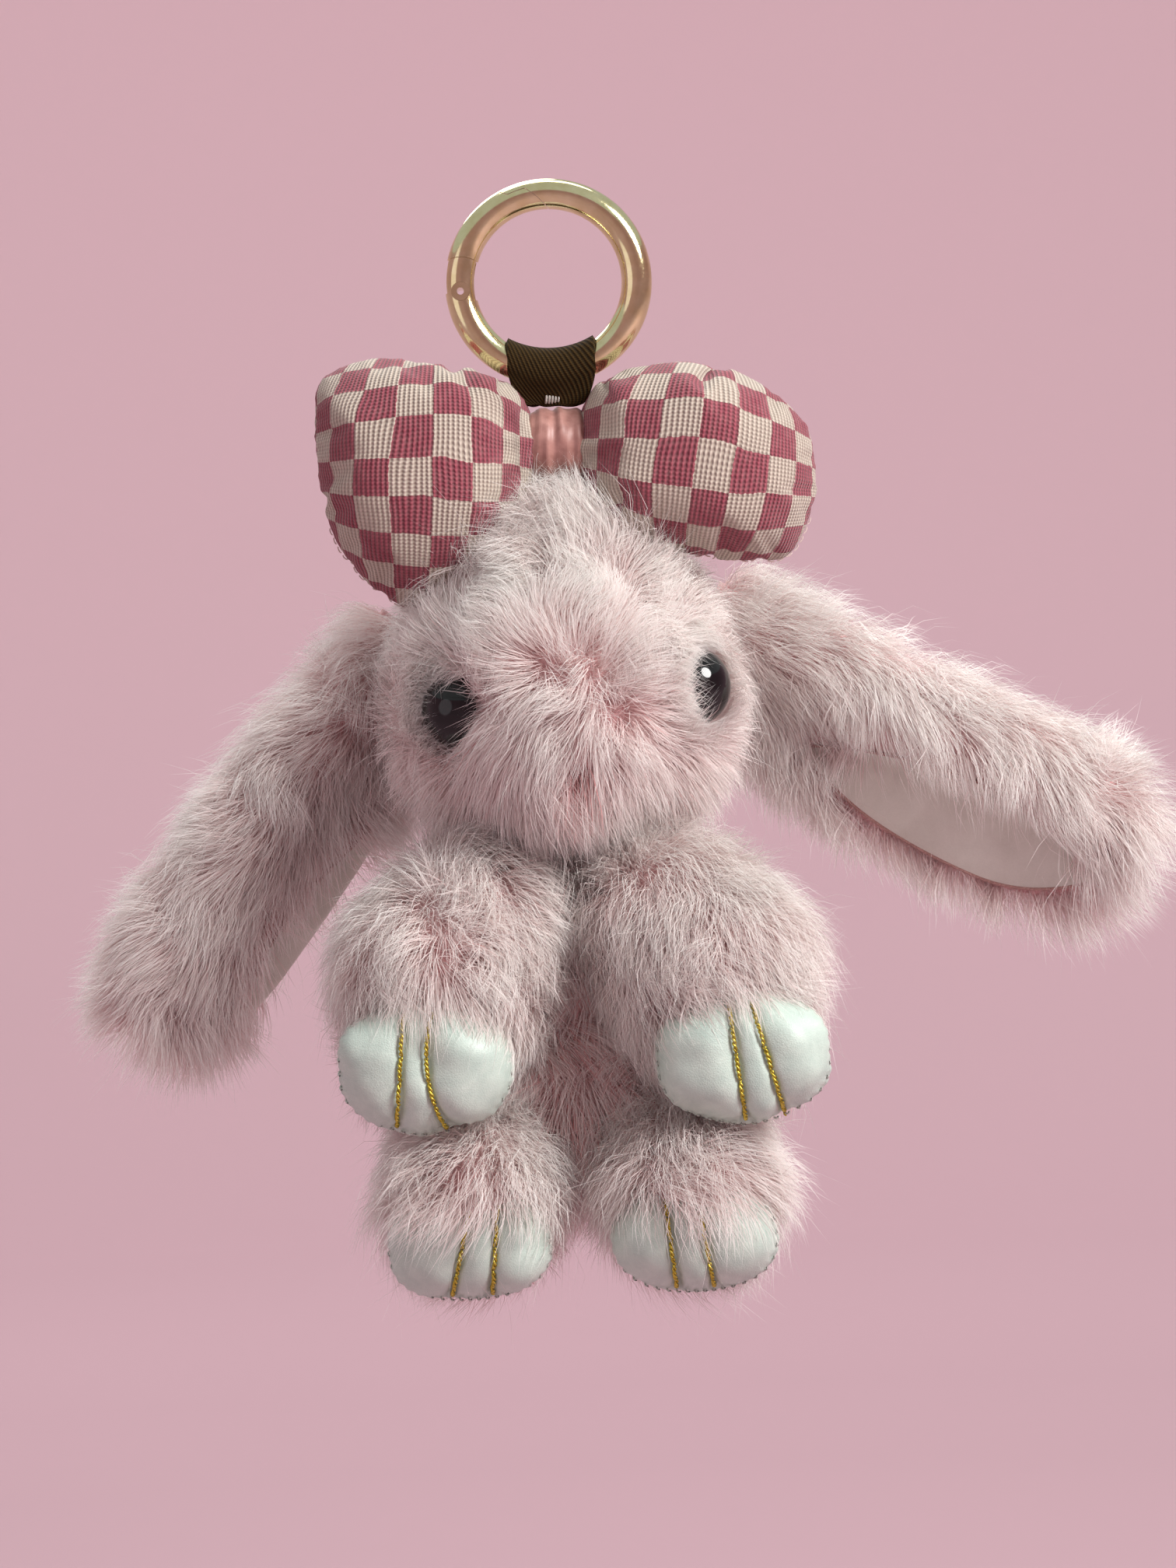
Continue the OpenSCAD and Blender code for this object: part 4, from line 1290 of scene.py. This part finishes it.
def make_ear(side):
    s, ear, place = SIDES[side], EARS[side], ear_frame(side)
    rows, columns = 64, 56
    t = (1 - np.cos(np.linspace(0, math.pi, rows))) / 2 * 0.998 - 0.03
    angles = np.linspace(0, 2 * math.pi, columns, endpoint=False)
    grid_t, grid_a = np.meshgrid(t, angles, indexing="ij")
    skin = ear_section(side, grid_t.ravel(), grid_a.ravel())
    quads = grid_quads(rows, columns, round_columns=True)
    if s > 0:
        quads = quads[:, ::-1]
    skin_world = place(skin.copy())
    caps = [skin_world[:columns].mean(0), skin_world[-columns:].mean(0)]
    points = np.concatenate([skin_world, caps])
    ends = []
    for k in range(columns):
        m = (k + 1) % columns
        ends.append((k, len(skin_world), m))
        ends.append(((rows - 1) * columns + m, len(skin_world) + 1, (rows - 1) * columns + k))
    mesh = mesh_from(f"ear_{side}_skin", points, [quads, np.array(ends)])
    tidy_mesh(mesh)
    obj = piece(f"ear_{side}_skin", mesh, "fur_backing", f"ear_{side}", [f"ear_{side}_fur"])

    # The lining: a leaf of smooth cloth on the front, lower part of the ear
    middle, spread = math.radians(ear["middle"]), math.radians(ear["spread"])
    leaf_t0, leaf_t1 = (0.27, 0.90) if s < 0 else (0.28, 0.96)
    rows_l, columns_l = 60, 24

    def leaf(i_share, j_share, lift):
        tt = leaf_t0 + (leaf_t1 - leaf_t0) * i_share
        bow_out = np.sin(math.pi * i_share ** 1.15) ** 0.7
        aa = middle + spread * bow_out * j_share
        base = ear_section(side, tt, aa)
        e = 1e-3
        du = ear_section(side, tt + e, aa) - ear_section(side, tt - e, aa)
        dv = ear_section(side, tt, aa + e) - ear_section(side, tt, aa - e)
        normal = unit(np.cross(dv, du))
        inner = np.array([0.5, 0, 0]) * EAR_LENGTH
        flip = np.sign(((base - inner) * normal * [0, 1, 1]).sum(-1, keepdims=True))
        return base + normal * flip * lift

    gi, gj = np.meshgrid(np.linspace(0.004, 0.996, rows_l), np.linspace(-1, 1, columns_l), indexing="ij")
    cloth = leaf(gi.ravel(), gj.ravel(), 0.45)
    leaf_quads = grid_quads(rows_l, columns_l)
    world = place(cloth.copy())
    mesh = mesh_from(f"ear_{side}_leaf", world, leaf_quads)
    bm = bmesh.new()
    bm.from_mesh(mesh)
    bmesh.ops.remove_doubles(bm, verts=bm.verts, dist=1e-6)
    bm.to_mesh(mesh)
    bm.free()
    tri = triangles(leaf_quads)
    lining = piece(f"ear_{side}_leaf", mesh, "ear_lining", f"ear_{side}",
                   [f"ear_{side}_lining"])
    thicken(lining, 0.4, 0)

    # A thin cord of turned seam round the leaf
    edge = np.concatenate([np.stack([np.linspace(0.01, 0.99, 60), np.ones(60)], 1),
                           np.stack([np.linspace(0.99, 0.01, 60), -np.ones(60)], 1)])
    rim = place(leaf(edge[:, 0], edge[:, 1], 0.55).copy())
    threads(f"ear_{side}_seam", [tube(rim, 0.32, 6, closed=True)], "ear_seam", f"ear_{side}")

    # Fur everywhere but on the leaf
    along_way = place(np.array([[1.0, 0, 0]]))[0] - place(np.array([[0.0, 0, 0]]))[0]
    up_way = place(np.array([[0, 0, 1.0]]))[0] - place(np.array([[0.0, 0, 0]]))[0]
    origin = place(np.array([[0.0, 0, 0]]))[0]
    front_way = place(np.array([[0, -1.0, 0]]))[0] - origin

    def own(p):
        away = p - origin
        return away @ along_way / EAR_LENGTH, away @ up_way, away @ front_way

    def leaf_share(p):
        """Below 1 on the leaf. 1 is its edge."""
        tt, across, ahead = own(p)
        i_share = np.clip((tt - leaf_t0) / (leaf_t1 - leaf_t0), 0, 1)
        bow_out = np.maximum(np.sin(math.pi * i_share ** 1.15), 0) ** 0.7
        width, _, sag = ear_width(side, tt)
        cos = np.clip((across - sag) / np.maximum(width, 1e-2 * ear["half"]), -1, 1)
        angle = np.arccos(cos)
        angle = np.where(ahead > -0.4, 2 * math.pi - angle, angle)
        return np.abs(angle - middle) / np.maximum(spread * bow_out, 1e-3), angle

    def density(p, n):
        share, _ = leaf_share(p)
        tt, _, _ = own(p)
        return ((share > 1.0) & (tt > -0.02)) * 1.0

    def comb(p, n):
        tt, across, _ = own(p)
        _, angle = leaf_share(p)
        way = along_way * 1.0 + up_way * (0.35 * np.sin(across / 6.0))[:, None] + np.array([0, 0, -0.35])
        over = (angle > middle) & (angle < middle + spread + math.radians(55))
        edge = np.exp(-((angle - middle - spread) / math.radians(30)) ** 2) * over
        way = way - up_way * (0.7 * edge)[:, None] + along_way * (0.3 * edge)[:, None]
        under = np.exp(-((angle - middle + spread) / math.radians(35)) ** 2)
        way = way - up_way * ((0.5 if s > 0 else 0.0) * under)[:, None]
        root = smooth_step(-tt, -0.12, 0.02)[:, None]
        return way + root * along_way * 0.5 + up_way * (1.3 * root_top(p))[:, None]

    def root_top(p):
        tt, across, _ = own(p)
        return smooth_step(-tt, -0.34, -0.1) * smooth_step(across, 0, 6)

    def lift(p, n):
        return 0.52 + 0.3 * root_top(p)

    def length(p, n):
        tt, _, ahead = own(p)
        return 11.0 - 1.5 * smooth_step(-ahead, 2, 6) + (3.0 if s > 0 else 0.0) * smooth_step(tt, 0.75, 1.0)

    def skip(p, n, q1, q2, q3, rng):
        share, angle = leaf_share(q3)
        bare, over = (0.8, 0.55) if s > 0 else (0.5, 0.3)
        return (share < bare) & (rng.random(len(p)) > 0.1) & (angle < middle + over * spread)

    fur_surface = (place(skin.copy()), quads)
    # Rosier round the ear's root where it meets the head, painted shade, and the left ear's lower base tint
    # paints it rosier than the right, painted shade on the side away from the key light.
    tint = rosy_low(0.85 if s > 0 else 0.72, [(tuple(EAR_ROOT * [s, 1, 1]), 16, 0.2)])
    grow_fur(f"ear_{side}_pile", f"ear_{side}", fur_surface, 7.6, comb, length, lift, tint, density=density,
             avoid=[grown(lobe_forms[side], 0.3)], skip=skip, seed=21 if s < 0 else 22, droop=0.25)


# ---------------------------------------------------------------- body, legs and paws

def make_body():
    surface = star_shape(grown(body_form, -SKIN_INSET), (0, 8, -140), 50)
    make_skin("body_skin", surface, "torso", ["body_cover", "body_stuffing"])
    legs = [grown(leg_forms[k], -SKIN_INSET) for k in leg_forms]

    def comb(p, n):
        way = np.broadcast_to(np.array([0, 0, -1.0]), p.shape).copy()
        way[:, 0] += 0.15 * np.sign(p[:, 0])
        return way

    def length(p, n):
        neck = smooth_step(p[:, 2], -126, -114) * smooth_step(-n[:, 1], -0.1, 0.5)
        return 11.0 + 6.5 * neck - 2.5 * smooth_step(n[:, 1], 0.1, 0.8)

    def lift(p, n):
        return 0.56 + 0.25 * smooth_step(p[:, 2], -128, -116) * smooth_step(-n[:, 1], -0.1, 0.5)

    # Rosier on the belly between the hind legs and on the chest under the neck: painted shade in these
    # hollows.
    grow_fur("body_fur", "torso", surface, 5.8, comb, length, lift,
             rosy_low(0.48, [((0, -10, -150), 14, 0.3), ((0, -14, -128), 9, 0.3)]), avoid=legs, seed=31)


def make_leg(key):
    end, side = key.split("_")
    s, chain, place = SIDES[side], LEGS[key], np.array(PAW_PLACES[key], float)
    body = key + "_leg"
    surface = star_shape(grown(leg_forms[key], -SKIN_INSET), chain[1][0], 50, 5 if end == "front" else 4)
    make_skin(key + "_skin", surface, body, [key + "_cover", key + "_stuffing"])
    make_paw(key, place)

    tip = place + (np.array([0, 2, -9]) if end == "front" else np.array([0, -7, -5]))
    root = np.array(chain[0][0], float)

    def comb(p, n):
        way = unit(tip - p)
        way = way + np.array([0.35 * s, 0, 0]) * smooth_step(np.abs(p[:, 0]), 18, 34)[:, None]
        shoulder = near(p, root, 15.0)[:, None] * (end == "front")
        way = way * (1 - 0.6 * shoulder) + np.array([-0.3 * s, -0.3, 0.2]) * shoulder
        return way + np.array([0, 0, -0.5])

    def length(p, n):
        by_paw = smooth_step(-np.linalg.norm(p - place, axis=1), -22, -13)
        return (11.5 + 0.3 * by_paw) if end == "front" else (10.0 + 5.0 * by_paw)

    # Rosier in the hollow between the arms, or between the hind legs: painted shade.
    painted_shade_hollow = [((0, -20, -128), 8, 0.15)] if end == "front" else [((0, -5, -170), 9, 0.2)]
    per_mm2, seed = (8.2, 41) if end == "front" else (7.6, 51)
    grow_fur(key + "_fur", body, surface, per_mm2, comb, length, 0.6, rosy_low(0.6, painted_shade_hollow),
             avoid=[paw_forms[key]], seed=seed + 3 * (s > 0))


def paw_depth(key, x, z, inset):
    """The y of the paw's front at (x, z), with its form drawn in by inset."""
    form = grown(paw_forms[key], -inset)
    y0 = PAW_PLACES[key][1]
    start = np.stack([x, np.full_like(x, y0), z], 1)
    low, high = np.zeros(len(x)), np.full(len(x), 14.0)
    for _ in range(30):
        middle = (low + high) / 2
        inside = form(start - np.array([0, 1.0, 0]) * middle[:, None]) < 0
        low, high = np.where(inside, middle, low), np.where(inside, high, middle)
    return y0 - (low + high) / 2


def claw_line(key, line, place, t):
    """The x of a claw's line, for t from 1 at its top to -1 at its bottom."""
    top, middle, bottom = line
    bend = middle - (top + bottom) / 2
    return place[0] + (top + bottom) / 2 + (top - bottom) / 2 * t + bend * (1 - t * t)


def make_paw(key, place):
    end = key.split("_")[0]
    body = key + "_leg"
    half_h = PAW_WIDTH[end] * 0.26 + PAW_DROP[end]
    points, faces = star_shape(paw_forms[key], place, 24, 6)
    normals = point_normals(points, faces)
    t = (points[:, 2] - place[2]) / half_h
    front = smooth_step(-normals[:, 1], 0.02, 0.35)
    sunk = np.zeros(len(points))
    for line in CLAWS[key]:
        off = points[:, 0] - claw_line(key, line, place, t)
        ends = smooth_step(-t, -1.05, -0.7)
        furrow, valley = np.exp(-(off / 0.75) ** 2), np.exp(-(off / 2.5) ** 2)
        sunk += ends * (0.7 * front * furrow + 0.9 * (0.3 + 0.7 * front) * valley)
    # Toe tips swell between the lines, and soft dents run across the stuffed leather
    dent = Waves(61 + len(key), 8)(points)[:, 0] * 0.22
    seam = 0.35 * np.exp(-((points[:, 1] - place[1] + 1.2) / 0.45) ** 2)
    run = np.arctan2(points[:, 2] - place[2], points[:, 0] - place[0])
    pucker = 0.16 * np.sin(run * 42) * np.exp(-((points[:, 1] - place[1] + 1.2) / 1.6) ** 2)
    points = points - normals * (sunk + seam - dent + pucker)[:, None]
    mesh = mesh_from(key + "_leather", points, faces)
    obj = piece(key + "_leather", mesh, "paw_leather", body, [key + "_paw"])

    # Claws: long stitches of two-ply metallic thread, end to end in each furrow
    parts = []
    for line in CLAWS[key]:
        ts = np.linspace(0.8, -0.9, 200)
        x = claw_line(key, line, place, ts)
        z = place[2] + ts * half_h
        y = paw_depth(key, x, z, 0.95)
        path = np.stack([x, y, z], 1)
        far = np.concatenate([[0], np.cumsum(np.linalg.norm(np.diff(path, axis=0), axis=1))])
        stitches = max(3, round(far[-1] / 4.2))
        size = far[-1] / stitches
        for i in range(stitches):
            at = np.linspace(i * size + 0.05, (i + 1) * size - 0.05, 26)
            core = np.stack([np.interp(at, far, path[:, k]) for k in range(3)], 1)
            share = np.linspace(0, 1, 26)
            out = unit(core - (place + np.array([0, 1.0, 0])))
            core = core + out * (0.55 * np.sin(math.pi * share) ** 0.45 - 0.25)[:, None]
            ahead = unit(np.gradient(core, axis=0))
            across = unit(np.cross(ahead, out))
            for ply in (0, math.pi):
                spin = ply + at * 2 * math.pi / 1.7
                strand = core + 0.2 * (across * np.cos(spin)[:, None] + out * np.sin(spin)[:, None])
                parts.append(tube(strand, 0.22 * (0.55 + 0.45 * np.sin(math.pi * share) ** 0.3), 6))
    threads(key + "_thread", parts, "gold_thread", body, [key + "_claws"])

    # Whip stitches over the seam between the front and back leather
    parts = []
    form = paw_forms[key]
    for angle in np.radians(np.arange(-206, 27, 9.5)):
        way = np.array([[math.cos(angle), 0, math.sin(angle)]])
        seam_mid = place + np.array([0, -1.2, 0])
        far = cast_out(form, seam_mid, way, 24)[0]
        a = seam_mid + way[0] * far
        around = np.array([-math.sin(angle), 0, math.cos(angle)])
        low = a + np.array([0, -1.0, 0]) + around * 0.3
        high = a + np.array([0, 0.8, 0]) - around * 0.3
        parts.append(tube(stitch_path(low, high, way[0], 0.18, 9) - way[0] * 0.14, 0.16, 6))
    threads(key + "_whip", parts, "stitch_thread", body, [key + "_stitches"])


# ---------------------------------------------------------------- all of it

MATERIALS = {
    "ring_gold": gold_metal(),
    "spring_steel": plain("spring_steel", 0.3, 1.5, srgb(150, 150, 152), srgb(190, 190, 192), Metallic=1.0),
    "washer_plastic": plain("washer_plastic", 0.5, 0.8, srgb(228, 228, 226), srgb(240, 240, 238)),
    "eye_plastic": eye_plastic(),
    "webbing": twill(),
    "bartack_thread": cotton_thread("bartack_thread", srgb(150, 146, 138), srgb(214, 212, 204)),
    "satin": satin(),
    "bow_fabric": check_fabric(),
    "seam_thread": cotton_thread("seam_thread", srgb(196, 170, 162), srgb(236, 222, 214)),
    "fur_backing": under_fur(),
    "fur": fur_pile(),
    "ear_lining": lining_cloth(),
    "ear_seam": cotton_thread("ear_seam", srgb(150, 112, 104), srgb(196, 160, 152)),
    "paw_leather": leather(),
    "gold_thread": gold_thread(),
    "stitch_thread": cotton_thread("stitch_thread", srgb(168, 172, 164), srgb(212, 216, 208)),
}

make_camera()
for lobe_side in SIDES:
    make_lobe(lobe_side)
make_light()
make_stage()
finish_hard_parts()
make_webbing()
make_bartack()
make_satin()
make_knot()
make_head()
for ear_side in SIDES:
    make_ear(ear_side)
make_body()
for leg_key in LEGS:
    make_leg(leg_key)
